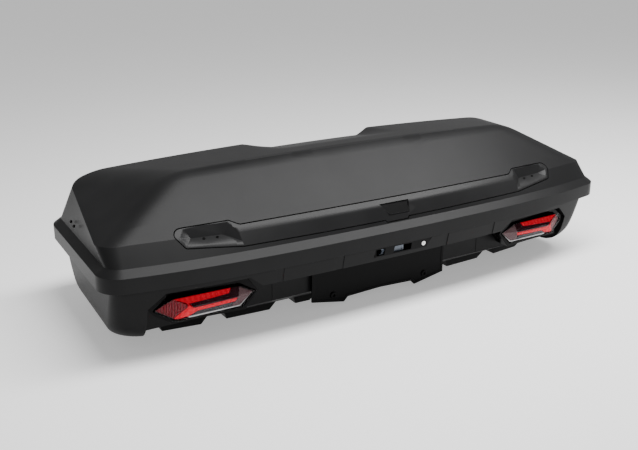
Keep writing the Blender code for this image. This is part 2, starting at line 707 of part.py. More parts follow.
def release():
    """Bezel with two windows; the grey lever slides sideways behind them."""
    bezel = prism("release_bezel", bezel_outline(0.0), 0.0305, 0.0590, "lamp_black")
    inner = [(-0.059, -0.0715), (0.0780, -0.0715), (0.0780, -0.0525), (-0.059, -0.0525)]
    boolean(bezel, prism("bezel_hollow", inner, 0.0345, 0.07))
    for number, (low, high) in enumerate(((-0.058, -0.030), (-0.005, 0.052))):
        boolean(bezel, box(f"bezel_window_{number}", (low, 0.02, -0.070), (high, 0.04, -0.054)))
    boolean(bezel, rod("lock_seat", (0.090, 0.02, -0.062), (0.090, 0.07, -0.062), 0.0063, sides=20))
    lever = box("release_lever", (-0.046, 0.0360, -0.0705), (0.030, 0.0400, -0.0535), "lever_grey",
                bevel=0.001)
    boolean(lever, box("lever_grip", (-0.002, 0.0395, -0.069), (0.024, 0.0480, -0.055)), "UNION")
    carry("release_lever_axis", (-0.008, 0.038, -0.062), lever)
    barrel = rod("release_lock", (0.090, 0.0295, -0.062), (0.090, 0.0580, -0.062), 0.0060,
                 "lock_metal", sides=20)
    boolean(barrel, box("release_key_slot", (0.0893, 0.02, -0.065), (0.0907, 0.034, -0.059)))
    carry("release_lock_axis", (0.090, 0.0295, -0.062), barrel)


# ---- hinges and gas struts ----------------------------------------------------------
def hinges():
    """Two hinges on the car side: base leaf, lid leaf and a pin through both."""
    d, h = HINGE
    outer = 0.0045
    leaf = box("hinge_leaf_base", (HINGE_X - 0.040, 0.5174, -0.110), (HINGE_X + 0.040, 0.5198, -0.0460),
               "black_steel")
    boolean(leaf, box("leaf_arm", (HINGE_X - 0.040, 0.5180, h - 0.0042),
                      (HINGE_X + 0.040, d, h - 0.0015)), "UNION")
    boolean(leaf, rod("leaf_knuckle", (HINGE_X - 0.040, d, h), (HINGE_X + 0.040, d, h), outer), "UNION")
    boolean(leaf, box("leaf_gap", (HINGE_X - 0.0205, d - 0.0060, h - 0.01),
                      (HINGE_X + 0.0205, d + 0.01, h + 0.01)))
    boolean(leaf, rod("leaf_bore", (HINGE_X - 0.05, d, h), (HINGE_X + 0.05, d, h), 0.0023))
    pair(leaf, "black_steel")
    lid_leaf = rod("hinge_leaf_lid", (HINGE_X - 0.020, d, h), (HINGE_X + 0.020, d, h), outer,
                   "black_steel")
    boolean(lid_leaf, box("lid_leaf_plate", (HINGE_X - 0.020, 0.5377, h + 0.001),
                          (HINGE_X + 0.020, 0.5407, -0.006)), "UNION")
    boolean(lid_leaf, rod("lid_leaf_bore", (HINGE_X - 0.05, d, h), (HINGE_X + 0.05, d, h), 0.0023))
    pieces = list(pair(lid_leaf, "black_steel"))
    pair(rod("hinge_pin", (HINGE_X - 0.041, d, h), (HINGE_X + 0.041, d, h), 0.0020, "zinc_steel"),
         "zinc_steel")
    return pieces


def strut_direction():
    dd, dh = STRUT_HEAD[0] - STRUT_FOOT[0], STRUT_HEAD[1] - STRUT_FOOT[1]
    length = math.hypot(dd, dh)
    return dd / length, dh / length, length


def along_strut(distance, x=STRUT_X):
    ud, uh, _ = strut_direction()
    return (x, STRUT_FOOT[0] + ud * distance, STRUT_FOOT[1] + uh * distance)


def struts():
    """Gas struts: cylinder hinged on the base, rod sliding out to the lid's stud."""
    length = strut_direction()[2]
    cylinder = rod("strut_cylinder", along_strut(0.005), along_strut(0.168), 0.0090, "black_steel")
    boolean(cylinder, rod("strut_bore", along_strut(0.025), along_strut(0.190), 0.0044), "DIFFERENCE")
    boolean(cylinder, rod("cylinder_eye", (STRUT_X - 0.006, *STRUT_FOOT), (STRUT_X + 0.006, *STRUT_FOOT),
                          0.0085), "UNION")
    boolean(cylinder, rod("cylinder_eye_bore", (STRUT_X - 0.02, *STRUT_FOOT),
                          (STRUT_X + 0.02, *STRUT_FOOT), 0.0043))
    cylinders = pair(cylinder, "black_steel")
    plunger = rod("strut_rod", along_strut(0.029), along_strut(length), 0.0040, "zinc_steel", sides=12)
    boolean(plunger, rod("rod_socket", (STRUT_X - 0.006, *STRUT_HEAD), (STRUT_X + 0.006, *STRUT_HEAD),
                         0.0080), "UNION")
    for side, barrel, piece in zip((1, -1), cylinders, pair(plunger, "zinc_steel")):
        slide = carry(f"{piece.name}_axis", (side * STRUT_X, *STRUT_HEAD), piece)
        carry(f"{barrel.name}_axis", (side * STRUT_X, *STRUT_FOOT), barrel, slide)


def strut_studs():
    """Studs that hold the struts: one bracket on the base, one on the lid's end wall."""
    d, h = STRUT_FOOT
    stud = rod("strut_stud_base", (STRUT_X - 0.008, d, h), (0.6960, d, h), 0.0040, "zinc_steel", sides=12)
    plate = box("stud_plate", (0.6950, d - 0.016, h - 0.014), (0.6980, d + 0.012, h + 0.018))
    boolean(stud, plate, "UNION")
    pair(stud, "zinc_steel")
    d, h = STRUT_HEAD
    bracket = box("strut_bracket_lid", (0.7000, d - 0.030, h - 0.014), (0.7030, d + 0.030, h + 0.015),
                  "black_steel")
    boolean(bracket, rod("bracket_stud", (0.6915, d, h), (0.7015, d, h), 0.0045, sides=12), "UNION")
    return list(pair(bracket, "black_steel"))


def end_screws():
    """Two screws through each end wall of the lid hold the strut brackets."""
    pieces = []
    for name, depth in (("end_screw_front", 0.332), ("end_screw_back", 0.369)):
        x = 0.7215 - 0.1057 * (depth - 0.332)
        screw = rod(name, (x, depth, 0.0415), (x + 0.0052, depth, 0.0415), 0.0033, "black_steel", sides=12)
        pieces += pair(screw, "black_steel")
    return pieces


# ---- platform and tow coupling ------------------------------------------------------
def platform():
    """Steel frame in the base's channel: two cross beams under one spine tube."""
    half, _ = CHANNEL
    for name, near in (("platform_beam_front", 0.112), ("platform_beam_rear", 0.420)):
        beam = box(name, (-half + 0.004, near, -0.186), (half - 0.004, near + 0.045, -0.161), "black_steel",
                   bevel=0.002)
        boolean(beam, box(f"{name}_bore", (-0.2, near + 0.003, -0.183), (0.2, near + 0.042, -0.164)))
    spine = box("platform_spine", (-0.032, 0.108, -0.1607), (0.032, 0.585, -0.1290), "black_steel",
                bevel=0.002)
    boolean(spine, box("spine_bore", (-0.029, 0.05, -0.1577), (0.029, 0.7, -0.1320)))


BALL_D, BALL_H, BALL_RADIUS = 0.622, -0.166, 0.025


def coupling():
    """Clamp for a 50 mm tow ball, with its jaw and over-centre lever."""
    end = DEPTH + COUPLING_REACH
    housing = box("coupling_housing", (-0.040, 0.5855, -0.190), (0.040, end, -0.118), "black_steel",
                  bevel=0.004)
    ball = bmesh.new()
    bmesh.ops.create_uvsphere(ball, u_segments=24, v_segments=12, radius=BALL_RADIUS + 0.0005,
                              matrix=Matrix.Translation(at(0, BALL_D, BALL_H)))
    boolean(housing, from_bmesh("ball_space", ball))
    boolean(housing, rod("ball_mouth", (0, BALL_D, -0.21), (0, BALL_D, BALL_H), BALL_RADIUS - 0.001,
                         sides=20))
    boolean(housing, box("jaw_space", (-0.0165, 0.640, -0.2), (0.0165, 0.6615, -0.130)))
    jaw = box("coupling_jaw", (-0.0160, 0.6490, -0.1880), (0.0160, 0.6540, -0.1330), "zinc_steel",
              bevel=0.0008)
    carry("coupling_jaw_axis", (0, 0.6515, -0.1360), jaw)
    pivot = (0.600, -0.1250)
    lever = rod("coupling_lever", (-0.054, *pivot), (0.054, *pivot), 0.0060, "zinc_steel", sides=12)
    for number, x in enumerate((-0.050, 0.044)):
        boolean(lever, hull(f"lever_cheek_{number}", [(x + s, d, h) for s in (0, 0.006) for d, h in
                ((0.591, -0.134), (0.609, -0.134), (0.584, -0.058), (0.598, -0.058))]), "UNION")
    boolean(lever, rod("lever_grip_bar", (-0.055, 0.590, -0.063), (0.055, 0.590, -0.063), 0.0080,
                       sides=12), "UNION")
    carry("coupling_lever_axis", (0, *pivot), lever)
    boolean(housing, rod("lever_bore", (-0.06, *pivot), (0.06, *pivot), 0.0063, sides=12))
    boolean(housing, box("lever_slot", (-0.06, 0.590, -0.1250), (0.06, 0.612, -0.1)))


# ---- assembly -----------------------------------------------------------------------
def build():
    clear_scene()
    lid_pieces = [lid_shell(), handle_trim()]
    lid_pieces += lid_frame()
    lid_pieces += [lock_cover(), lid_lock(), *latch_bars()]
    base_shell()
    rim_seal()
    floor_mats()
    skids()
    plate_panel()
    lamps()
    release()
    lid_pieces += hinges()
    struts()
    lid_pieces += strut_studs()
    lid_pieces += end_screws()
    carry("lid_axis", (0.0, *HINGE), *lid_pieces)
    platform()
    coupling()


build()
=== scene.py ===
"""Looks of the rear cargo box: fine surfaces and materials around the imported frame.

Places on the box are (x, d, h): x to the right, d the depth behind the rim's front edge,
h the height over the rim's upper edge, all in metres. at() turns them into the frame.
"""
import json
import math

import bmesh
import bpy
from mathutils import Matrix, Vector


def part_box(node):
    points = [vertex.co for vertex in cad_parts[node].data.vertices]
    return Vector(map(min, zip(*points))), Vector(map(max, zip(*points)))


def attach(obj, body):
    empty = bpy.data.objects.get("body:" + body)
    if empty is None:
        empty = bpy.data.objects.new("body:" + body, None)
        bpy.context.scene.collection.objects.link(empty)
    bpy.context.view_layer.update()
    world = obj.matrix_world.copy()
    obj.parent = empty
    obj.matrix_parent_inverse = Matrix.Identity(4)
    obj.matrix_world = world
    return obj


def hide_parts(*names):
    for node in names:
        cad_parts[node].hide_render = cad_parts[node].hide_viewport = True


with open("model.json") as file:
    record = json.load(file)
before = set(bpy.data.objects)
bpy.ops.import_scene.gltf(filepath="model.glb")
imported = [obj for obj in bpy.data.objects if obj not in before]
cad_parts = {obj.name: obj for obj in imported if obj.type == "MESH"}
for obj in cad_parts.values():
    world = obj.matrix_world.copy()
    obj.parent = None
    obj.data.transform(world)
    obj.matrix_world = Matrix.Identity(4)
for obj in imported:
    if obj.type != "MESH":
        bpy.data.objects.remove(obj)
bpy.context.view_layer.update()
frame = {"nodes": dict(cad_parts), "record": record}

# ---- driving dimensions, from the frame and the design ----
LID_LOW, LID_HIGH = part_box("lid_shell")
BAND = 0.0356
RIM_HEIGHT = LID_LOW[2] + BAND
FRONT_Y = LID_LOW[1]
DEPTH = LID_HIGH[1] - LID_LOW[1]
HALF_LENGTH = LID_HIGH[0]
SKIN = 0.004
SIDE_TAPER = 0.032
BOW, BOW_ENDS = 0.0423, 0.1034
FLANGE_IN, FLANGE_RISE = 0.02, 0.015
SEAT_INSET, STRIP_INSET = 0.012, 0.028
# Creases of the lid: depth in the middle, its growth with x squared, height; depth, height;
# half length and its loss with depth. The scoop: half widths of its floor and mouth, depth.
FRONT_CREASE = (0.043, 0.117, 0.056)
BACK_CREASE = (0.2, 0.181)
END_CREASE = (0.733, 0.1057)
LID_BACK = 0.47
SCOOP = (0.142, 0.204, 0.041)
SCOOP_START, END_START = 0.29, 0.09
TOP_FALL, TOP_BOW, SCOOP_DIP = 0.122, 0.042, 0.1
END_HEIGHT, END_RISE, END_SLOPE = 0.048, 0.15, 0.5
TOP_BLEND, END_BLEND = 0.012, 0.022
TRIM_DEPTH, TRIM_GAP = 0.015, 0.0015
TRIM_TILT = math.radians(50)
WALL_BACK, WALL_FOOT, TOE = 0.104, -0.159, 0.153
BASE_FLOOR = -0.19
CHANNEL = (0.145, -0.125)
HINGE_X = 0.45


def at(x, d, h):
    return Vector((x, FRONT_Y + d, RIM_HEIGHT + h))


def stations(count):
    return [i / count for i in range(count + 1)]


# ---- plan outlines ----
def rim_front(x):
    return BOW * x ** 2 + BOW_ENDS * x ** 4


def crease_front(x):
    d, growth, _ = FRONT_CREASE
    return d + growth * x ** 2


def arc(centre, radius, first, last, steps):
    angles = [first + (last - first) * i / steps for i in range(steps + 1)]
    return [(centre[0] + radius * math.cos(a), centre[1] + radius * math.sin(a)) for a in angles]


class Outline:
    """Plan outlines with matching points: a bowed front, tapered ends and round corners."""

    def __init__(self, along, corner, side):
        self.along, self.corner, self.side = stations(along), corner, stations(side)
        self.across = along + corner
        self.deep = 2 * corner + side

    def half(self, front, half_width, taper, back, r_front, r_back):
        start = half_width - r_front
        for _ in range(6):
            lean = math.atan((front(start + 1e-4) - front(start - 1e-4)) / 2e-4)
            start = half_width - r_front * (1 - math.sin(lean))
        centre = (start - r_front * math.sin(lean), front(start) + r_front * math.cos(lean))
        points = [(start * t, front(start * t)) for t in self.along]
        points += arc(centre, r_front, lean - math.pi / 2, taper, 2 * self.corner)[1:]
        side_x = half_width - taper * (back - r_back)
        end = (side_x - r_back * math.cos(taper), back - r_back)
        back_arc = arc(end, r_back, taper, math.pi / 2, 2 * self.corner)
        (x0, d0), (x1, d1) = points[-1], back_arc[0]
        points += [(x0 + (x1 - x0) * t, d0 + (d1 - d0) * t) for t in self.side[1:-1]]
        points += back_arc
        return points + [(end[0] * t, back) for t in reversed(self.along[:-1])]

    def ring(self, h, *shape):
        half = self.half(*shape)
        return [(x, d, h) for x, d in half + [(-x, d) for x, d in reversed(half[1:-1])]]

    def rim(self, inset, h, r_front=0.06, r_back=0.07):
        return self.ring(h, lambda x: rim_front(x) + inset, HALF_LENGTH - inset, SIDE_TAPER,
                         DEPTH - inset, max(r_front - inset, 0.02), max(r_back - inset, 0.02))


FINE = Outline(along=60, corner=8, side=24)
PLAIN = Outline(along=16, corner=4, side=8)


# ---- meshes ----
def linked(name, data):
    obj = bpy.data.objects.new(name, data)
    bpy.context.scene.collection.objects.link(obj)
    return obj


def placed(name, bm):
    """Puts a bmesh into the scene as it is, and frees it."""
    mesh = bpy.data.meshes.new(name)
    bm.to_mesh(mesh)
    bm.free()
    return linked(name, mesh)


def from_bmesh(name, bm, smooth=True):
    bmesh.ops.recalc_face_normals(bm, faces=bm.faces)
    obj = placed(name, bm)
    if smooth:
        obj.data.shade_smooth()
    return obj


def settle(obj, sharp=None):
    """Applies every modifier; sharp sets the angle, in degrees, of the edges kept crisp."""
    bpy.context.view_layer.update()
    evaluated = obj.evaluated_get(bpy.context.evaluated_depsgraph_get())
    mesh = bpy.data.meshes.new_from_object(evaluated)
    obj.modifiers.clear()
    obj.data = mesh
    if sharp:
        mesh.shade_smooth()
        mesh.set_sharp_from_angle(angle=math.radians(sharp))
    return obj


def cut(obj, *others, operation="DIFFERENCE"):
    """Applies one Boolean after another and removes the tools."""
    for other in others:
        modifier = obj.modifiers.new("cut", "BOOLEAN")
        modifier.operation = operation
        modifier.solver = "EXACT"
        modifier.object = other
        settle(obj)
        bpy.data.objects.remove(other, do_unlink=True)
    return obj


def join(obj, *others):
    return cut(obj, *others, operation="UNION")


def bevel(obj, width, segments, angle=30):
    modifier = obj.modifiers.new("bevel", "BEVEL")
    modifier.width = width
    modifier.segments = segments
    modifier.limit_method = "ANGLE"
    modifier.angle_limit = math.radians(angle)
    return obj


def soften(obj, width, angle, sharp=None, segments=2):
    """Rounds the edges sharper than angle and applies it; sharp is as in settle."""
    return settle(bevel(obj, width, segments, angle), sharp)


def box(name, low, high):
    low, high = at(*low), at(*high)
    bm = bmesh.new()
    bmesh.ops.create_cube(bm, size=1.0)
    bmesh.ops.scale(bm, vec=high - low, verts=bm.verts)
    bmesh.ops.translate(bm, vec=(low + high) / 2, verts=bm.verts)
    return from_bmesh(name, bm, smooth=False)


def rod(name, start, end, radius, sides=32, end_radius=None):
    start, end = at(*start), at(*end)
    axis = end - start
    turn = axis.to_track_quat("Z", "Y").to_matrix().to_4x4()
    bm = bmesh.new()
    bmesh.ops.create_cone(bm, cap_ends=True, segments=sides, radius1=radius,
                          radius2=radius if end_radius is None else end_radius,
                          depth=axis.length, matrix=Matrix.Translation((start + end) / 2) @ turn)
    return from_bmesh(name, bm)


def hull(name, points):
    bm = bmesh.new()
    for point in points:
        bm.verts.new(at(*point))
    result = bmesh.ops.convex_hull(bm, input=bm.verts)
    loose = {v for v in result["geom_interior"] if isinstance(v, bmesh.types.BMVert)}
    bmesh.ops.delete(bm, geom=list(loose), context="VERTS")
    return from_bmesh(name, bm, smooth=False)


def ring_faces(bm, loops):
    """Joins each closed loop of vertices to the next one."""
    for lower, upper in zip(loops, loops[1:]):
        for i in range(len(lower)):
            k = (i + 1) % len(lower)
            bm.faces.new((lower[i], lower[k], upper[k], upper[i]))


def loft(name, rings, triangles=True, smooth=True):
    """Closed solid through matching rings of places, with flat ends."""
    bm = bmesh.new()
    loops = [[bm.verts.new(at(*p)) for p in ring] for ring in rings]
    bm.faces.new(loops[0])
    bm.faces.new(loops[-1])
    ring_faces(bm, loops)
    if triangles:
        bmesh.ops.triangulate(bm, faces=bm.faces)
    return from_bmesh(name, bm, smooth)


def tube(name, first, last):
    return loft(name, (first, last), triangles=False, smooth=False)


def prism(name, outline, near, far):
    return tube(name, [(x, near, h) for x, h in outline], [(x, far, h) for x, h in outline])


def mirrored(outline):
    """Adds the left half to a right-hand outline that starts and ends on x = 0."""
    return outline + [(-p[0], *p[1:]) for p in reversed(outline[1:-1])]


def mirror_copy(obj, name):
    """The left-hand twin of a right-hand piece, without its material."""
    bm = bmesh.new()
    bm.from_mesh(obj.data)
    bmesh.ops.scale(bm, vec=(-1, 1, 1), verts=bm.verts)
    bmesh.ops.reverse_faces(bm, faces=bm.faces)
    return placed(name, bm)


# ---- materials ----
def shader_of(name):
    material = bpy.data.materials.new(name)
    material.use_nodes = True
    tree = material.node_tree
    return material, tree, tree.nodes["Principled BSDF"]


def feed(node, values):
    """Sets a node's inputs by name, to plain values or to other nodes' outputs."""
    for name, value in values.items():
        if isinstance(value, bpy.types.NodeSocket):
            node.id_data.links.new(value, node.inputs[name])
        else:
            node.inputs[name].default_value = value
    return node


def new_node(tree, kind, values):
    return feed(tree.nodes.new("ShaderNode" + kind), values)


def own_place(tree):
    return tree.nodes.new("ShaderNodeTexCoord").outputs["Object"]


def noise(tree, scale, detail=2.0):
    values = {"Scale": scale, "Detail": detail, "Vector": own_place(tree)}
    return new_node(tree, "TexNoise", values).outputs["Fac"]


def spread(tree, source, low, high, start=0.35, end=0.65):
    """Maps a node's output to the range low to high."""
    values = {"From Min": start, "From Max": end, "To Min": low, "To Max": high, "Value": source}
    return new_node(tree, "MapRange", values).outputs["Result"]


def toned(colour, share=1.0):
    return (*(c * share for c in colour), 1)


def mixed(tree, factor, first, second):
    """Mixes two colours, each a plain one or a node's output."""
    node = tree.nodes.new("ShaderNodeMix")
    node.data_type = "RGBA"
    return feed(node, {"A": first, "B": second, "Factor": factor}).outputs["Result"]


def bump(tree, height, distance, strength=1.0):
    values = {"Strength": strength, "Distance": distance, "Height": height}
    return new_node(tree, "Bump", values).outputs["Normal"]


def moulded(name, colour, roughness, grain=0.00006, grain_size=0.0009, spec=0.5, edge=1.5):
    """Moulded plastic: fine grain, faint cloudiness and edges worn a little lighter."""
    material, tree, shader = shader_of(name)
    cloud = spread(tree, noise(tree, 9.0, 3.0), 0, 1)
    edges = tree.nodes.new("ShaderNodeNewGeometry").outputs["Pointiness"]
    fine = noise(tree, 1 / grain_size, 3.0)
    tone = mixed(tree, spread(tree, edges, 0, 0.7, 0.53, 0.6),
                 mixed(tree, cloud, toned(colour, 0.9), toned(colour, 1.1)), toned(colour, edge))
    feed(shader, {"Base Color": tone, "Specular IOR Level": spec, "Normal": bump(tree, fine, grain, 0.6),
                  "Roughness": spread(tree, fine, roughness * 0.92, roughness * 1.1)})
    return material


def metal(name, colour, roughness):
    """Plated metal with a fine grain and faint cloudiness."""
    material, tree, shader = shader_of(name)
    fine = noise(tree, 400.0, 4.0)
    tone = mixed(tree, spread(tree, noise(tree, 60.0), 0, 1), toned(colour, 0.82), toned(colour))
    feed(shader, {"Base Color": tone, "Metallic": 1.0, "Normal": bump(tree, fine, 0.00003, 0.3),
                  "Roughness": spread(tree, fine, roughness * 0.8, roughness * 1.3)})
    return material


def ribbed(name, dark, light, scale):
    """Lamp plastic with fine upright prisms between two tones."""
    material, tree, shader = shader_of(name)
    wave = new_node(tree, "TexWave", {"Scale": scale, "Distortion": 0.6, "Vector": own_place(tree)})
    prisms = wave.outputs["Fac"]
    tone = mixed(tree, spread(tree, prisms, 0, 1, 0.3, 0.8), toned(dark), toned(light))
    feed(shader, {"Base Color": tone, "Specular IOR Level": 0.05, "Normal": bump(tree, prisms, 0.0004),
                  "Roughness": spread(tree, noise(tree, 300.0), 0.22, 0.34)})
    return material


def veil(name, colour, alpha):
    """Thin clear polycarbonate: mostly see-through, with a glossy skin."""
    material, tree, shader = shader_of(name)
    feed(shader, {"Base Color": toned(colour), "Alpha": alpha, "Specular IOR Level": 0.5,
                  "Roughness": spread(tree, noise(tree, 150.0), 0.03, 0.08)})
    return material


LID = moulded("lid_moulded", (0.0105, 0.0105, 0.0108), 0.38, spec=0.1)
BASE = moulded("base_moulded", (0.006, 0.006, 0.0062), 0.42, spec=0.1)
TRIM = moulded("trim_moulded", (0.0115, 0.0115, 0.0118), 0.33, grain=0.00004, spec=0.12)
PANEL = moulded("panel_moulded", (0.0014, 0.0014, 0.0015), 0.36, grain=0.00004, spec=0.06)
SATIN = moulded("satin_black", (0.0015, 0.0015, 0.0016), 0.32, grain=0.00002, spec=0.09)
HOUSING = moulded("lamp_black", (0.001, 0.001, 0.0011), 0.22, grain=0.00001, spec=0.07)
GREY = moulded("lever_grey", (0.1, 0.12, 0.155), 0.4, grain=0.00003)
RUBBER = moulded("rubber_matt", (0.008, 0.008, 0.008), 0.75, grain=0.00008)
POWDER = moulded("powder_coat", (0.012, 0.012, 0.013), 0.45, grain=0.00005, grain_size=0.0006)
ZINC = metal("zinc_plate", (0.58, 0.58, 0.56), 0.32)
NICKEL = metal("nickel_lock", (0.8, 0.79, 0.77), 0.22)


# The material of each slot; a piece can also be given another one
BY_SLOT = {"lid_plastic": LID, "base_plastic": BASE, "trim_plastic": TRIM, "panel_black": PANEL,
           "lever_grey": GREY, "lamp_black": HOUSING, "lamp_red": PANEL, "lamp_clear": PANEL,
           "rubber": RUBBER, "zinc_steel": ZINC, "black_steel": POWDER, "lock_metal": NICKEL}


def dress(obj, slot, body, *nodes, material=None):
    """Gives a piece its slot's material, the body it rides on and the nodes it stands for."""
    obj.data.materials.clear()
    obj.data.materials.append(material or BY_SLOT[slot])
    weighted = obj.modifiers.new("weighted", "WEIGHTED_NORMAL")
    weighted.keep_sharp = True
    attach(obj, body)
    if nodes:
        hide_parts(*nodes)


def twins(piece, slot, body, node=None, material=None):
    """Dresses a right-hand piece and its mirror image; SIDE in the body's name is filled in."""
    twin = mirror_copy(piece, piece.name.replace("right", "left"))
    for obj, side in ((piece, "right"), (twin, "left")):
        nodes = [f"{node}_{side}"] if node else []
        dress(obj, slot, body.replace("SIDE", side), *nodes, material=material)


# ---- lid ----
def soft_min(a, b, blend):
    t = max(blend - abs(a - b), 0.0) / blend
    return min(a, b) - t * t * blend / 4


def scoop_share(x):
    inner, outer, _ = SCOOP
    return min(max((outer - abs(x)) / (outer - inner), 0.0), 1.0)


def lid_height(x, d):
    """Height over the rim: a sloped main face, a flatter top, two end slopes, one scoop."""
    back, height = BACK_CREASE
    rise = (height - FRONT_CREASE[2]) / (back - FRONT_CREASE[0])
    main = FRONT_CREASE[2] + (d - crease_front(x)) * rise
    top = height - TOP_FALL * (d - back) - TOP_BOW * x * x
    top -= scoop_share(x) * max(d - SCOOP_START, 0.0) * SCOOP_DIP
    end_x, end_loss = END_CREASE
    edge = end_x - end_loss * (d - END_START)
    end = END_HEIGHT + END_RISE * (d - END_START) + (edge - abs(x)) * END_SLOPE
    return soft_min(soft_min(main, top, TOP_BLEND), end, END_BLEND)


def crease_ring(outline, shrink, drop):
    """The ring where the lid's walls meet its upper surface."""
    end_x, taper = END_CREASE
    ring = []
    for x, d, _ in outline.ring(0, lambda x: crease_front(x) + shrink, end_x - shrink, taper * 0.9,
                                LID_BACK - shrink, 0.05, 0.04):
        if d > LID_BACK - 0.01:
            d -= SCOOP[2] * scoop_share(x)
        ring.append((x, d, lid_height(x, d) - drop))
    return ring


def cover_faces(bm, outline, ring, places, drop):
    """Fills the crease ring with a grid that follows the lid's height."""
    across, deep = outline.across, outline.deep
    front = [(i - across) % len(ring) for i in range(2 * across + 1)]
    back = [(-(across + deep) - i) % len(ring) for i in range(2 * across + 1)]
    right = [across + j for j in range(deep + 1)]
    left = [(-across - j) % len(ring) for j in range(deep + 1)]
    grid = [[None] * (deep + 1) for _ in range(2 * across + 1)]
    for i in range(2 * across + 1):
        grid[i][0], grid[i][deep] = ring[front[i]], ring[back[i]]
    for j in range(deep + 1):
        grid[0][j], grid[-1][j] = ring[left[j]], ring[right[j]]
    first, last = places[left[0]], places[left[-1]]
    for i in range(1, 2 * across):
        u = i / (2 * across)
        start, stop = places[front[i]], places[back[i]]
        for j in range(1, deep):
            share = (places[left[j]][1] - first[1]) / (last[1] - first[1])
            side = places[left[j]][0] - (first[0] + (last[0] - first[0]) * share)
            x = start[0] + (stop[0] - start[0]) * share + side * (1 - 2 * u)
            d = start[1] + (stop[1] - start[1]) * share
            grid[i][j] = bm.verts.new(at(x, d, lid_height(x, d) - drop))
    for i in range(2 * across):
        for j in range(deep):
            bm.faces.new((grid[i][j], grid[i + 1][j], grid[i + 1][j + 1], grid[i][j + 1]))


def lid_solid(name, outline, inset, sink, lower, rounds=None):
    """The lid's outer form (inset 0) or the hollow under it; rounds are edge widths."""
    rings = [outline.rim(inset, lower), outline.rim(inset, -sink * 0.4),
             outline.rim(FLANGE_IN + inset, FLANGE_RISE - sink), crease_ring(outline, inset, sink)]
    bm = bmesh.new()
    loops = [[bm.verts.new(at(*p)) for p in ring] for ring in rings]
    bm.faces.new(loops[0])
    ring_faces(bm, loops)
    cover_faces(bm, outline, loops[-1], rings[-1], sink)
    if rounds:
        weigh_edges(bm, loops, rounds)
    obj = from_bmesh(name, bm)
    if rounds:
        bevel(obj, max(rounds), 4).modifiers["bevel"].limit_method = "WEIGHT"
        settle(obj)
    return obj


def weigh_edges(bm, loops, widths):
    layer = bm.edges.layers.float.new("bevel_weight_edge")
    for loop, width in zip(loops, widths):
        for i, vertex in enumerate(loop):
            edge = bm.edges.get((vertex, loop[(i + 1) % len(loop)]))
            edge[layer] = width / max(widths)


def tilted(x, s, n):
    """A point at distance s up the trim's face and n out of it."""
    c, k = math.cos(TRIM_TILT), math.sin(TRIM_TILT)
    return (x, s * c - n * k, s * k + n * c)


def barrel_rod(name, start, end, radius, sides=32):
    """A round piece on the lid lock's axis, from start to end out of the trim's face."""
    return rod(name, tilted(0, LOCK_S, start), tilted(0, LOCK_S, end), radius, sides)


def trim_low(x):
    return 0.0348 + 0.0521 * x * x


def trim_high(x):
    return 0.0903 + 0.0434 * x * x


def trim_half():
    """Right half of the trim's outline in (x, s), with the tab under the lock's cover."""
    tab = 0.0055
    low = [(0.0, trim_low(0) - tab), (0.0315, trim_low(0.0315) - tab), (0.0355, trim_low(0.0355))]
    low += [(0.07 + 0.035 * i, trim_low(0.07 + 0.035 * i)) for i in range(11)]
    tip = arc((0.551, 0.1015), 0.0175, math.radians(-20), math.radians(97), 10)
    high = [(0.436, 0.1137), (0.431, 0.1105), (0.418, 0.1005), (0.412, 0.0975)]
    high += [(0.385 - 0.035 * i, trim_high(0.385 - 0.035 * i)) for i in range(11)] + [(0.0, trim_high(0))]
    return low + [(0.549, 0.0668), (0.553, 0.069)] + tip + high


def grown(outline, amount):
    """Moves every side of a closed flat outline outwards, and mitres the corners."""
    result = []
    turn = sum(a[0] * b[1] - b[0] * a[1] for a, b in zip(outline, outline[1:] + outline[:1]))
    amount = math.copysign(amount, amount * turn)
    for before, here, after in zip(outline[-1:] + outline[:-1], outline, outline[1:] + outline[:1]):
        first = Vector((here[0] - before[0], here[1] - before[1])).normalized()
        last = Vector((after[0] - here[0], after[1] - here[1])).normalized()
        along = (first + last).normalized()
        scale = amount / max(along.dot(first), 0.4)
        result.append((here[0] + along.y * scale, here[1] - along.x * scale))
    return result


def trim_prism(name, grow, reach=0.08):
    outline = grown(mirrored(trim_half()), grow)
    return tube(name, [tilted(x, s, reach) for x, s in outline], [tilted(x, s, -reach) for x, s in outline])


def sunk_lid(name, depth):
    solid = lid_solid(name, PLAIN, 0.0, 0.0, -0.1)
    _, back, down = tilted(0, 0, -depth)
    solid.data.transform(Matrix.Translation((0, back, down)))
    return solid


def make_lid():
    lid = lid_solid("lid_skin", FINE, 0.0, 0.0, -BAND, rounds=(0.002, 0.006, 0.006, 0.01))
    channel = cut(trim_prism("channel", TRIM_GAP + 0.0007), sunk_lid("floor", TRIM_DEPTH + 0.001))
    hollow = lid_solid("hollow", PLAIN, SKIN, SKIN * 1.35, -BAND - 0.05)
    cut(hollow, cut(trim_prism("bulge", TRIM_GAP + SKIN), sunk_lid("floor", TRIM_DEPTH + SKIN)))
    cut(lid, channel)
    soften(lid, 0.0009, 50)
    cut(lid, hollow)
    cut(lid, barrel_rod("barrel_hole", -0.06, 0.03, 0.0118))
    dress(settle(lid, sharp=24), "lid_plastic", "lid", "lid_shell")


# ---- handle trim ----
EDGE_ROUND = 0.0012
TRIM_THICK = 0.0152
LOCK_S, COVER_LOW_S, COVER_HINGE_S = 0.06, 0.0445, 0.0755
COVER_TOP, COVER_THICK = -0.0008, 0.003


def along_chain(chain, x):
    """Height of a chain of (x, s) points, ordered by x, at one x."""
    for (x0, s0), (x1, s1) in zip(chain, chain[1:]):
        if x0 <= x <= x1:
            return s0 + (s1 - s0) * (x - x0) / max(x1 - x0, 1e-9)
    return chain[-1][1]


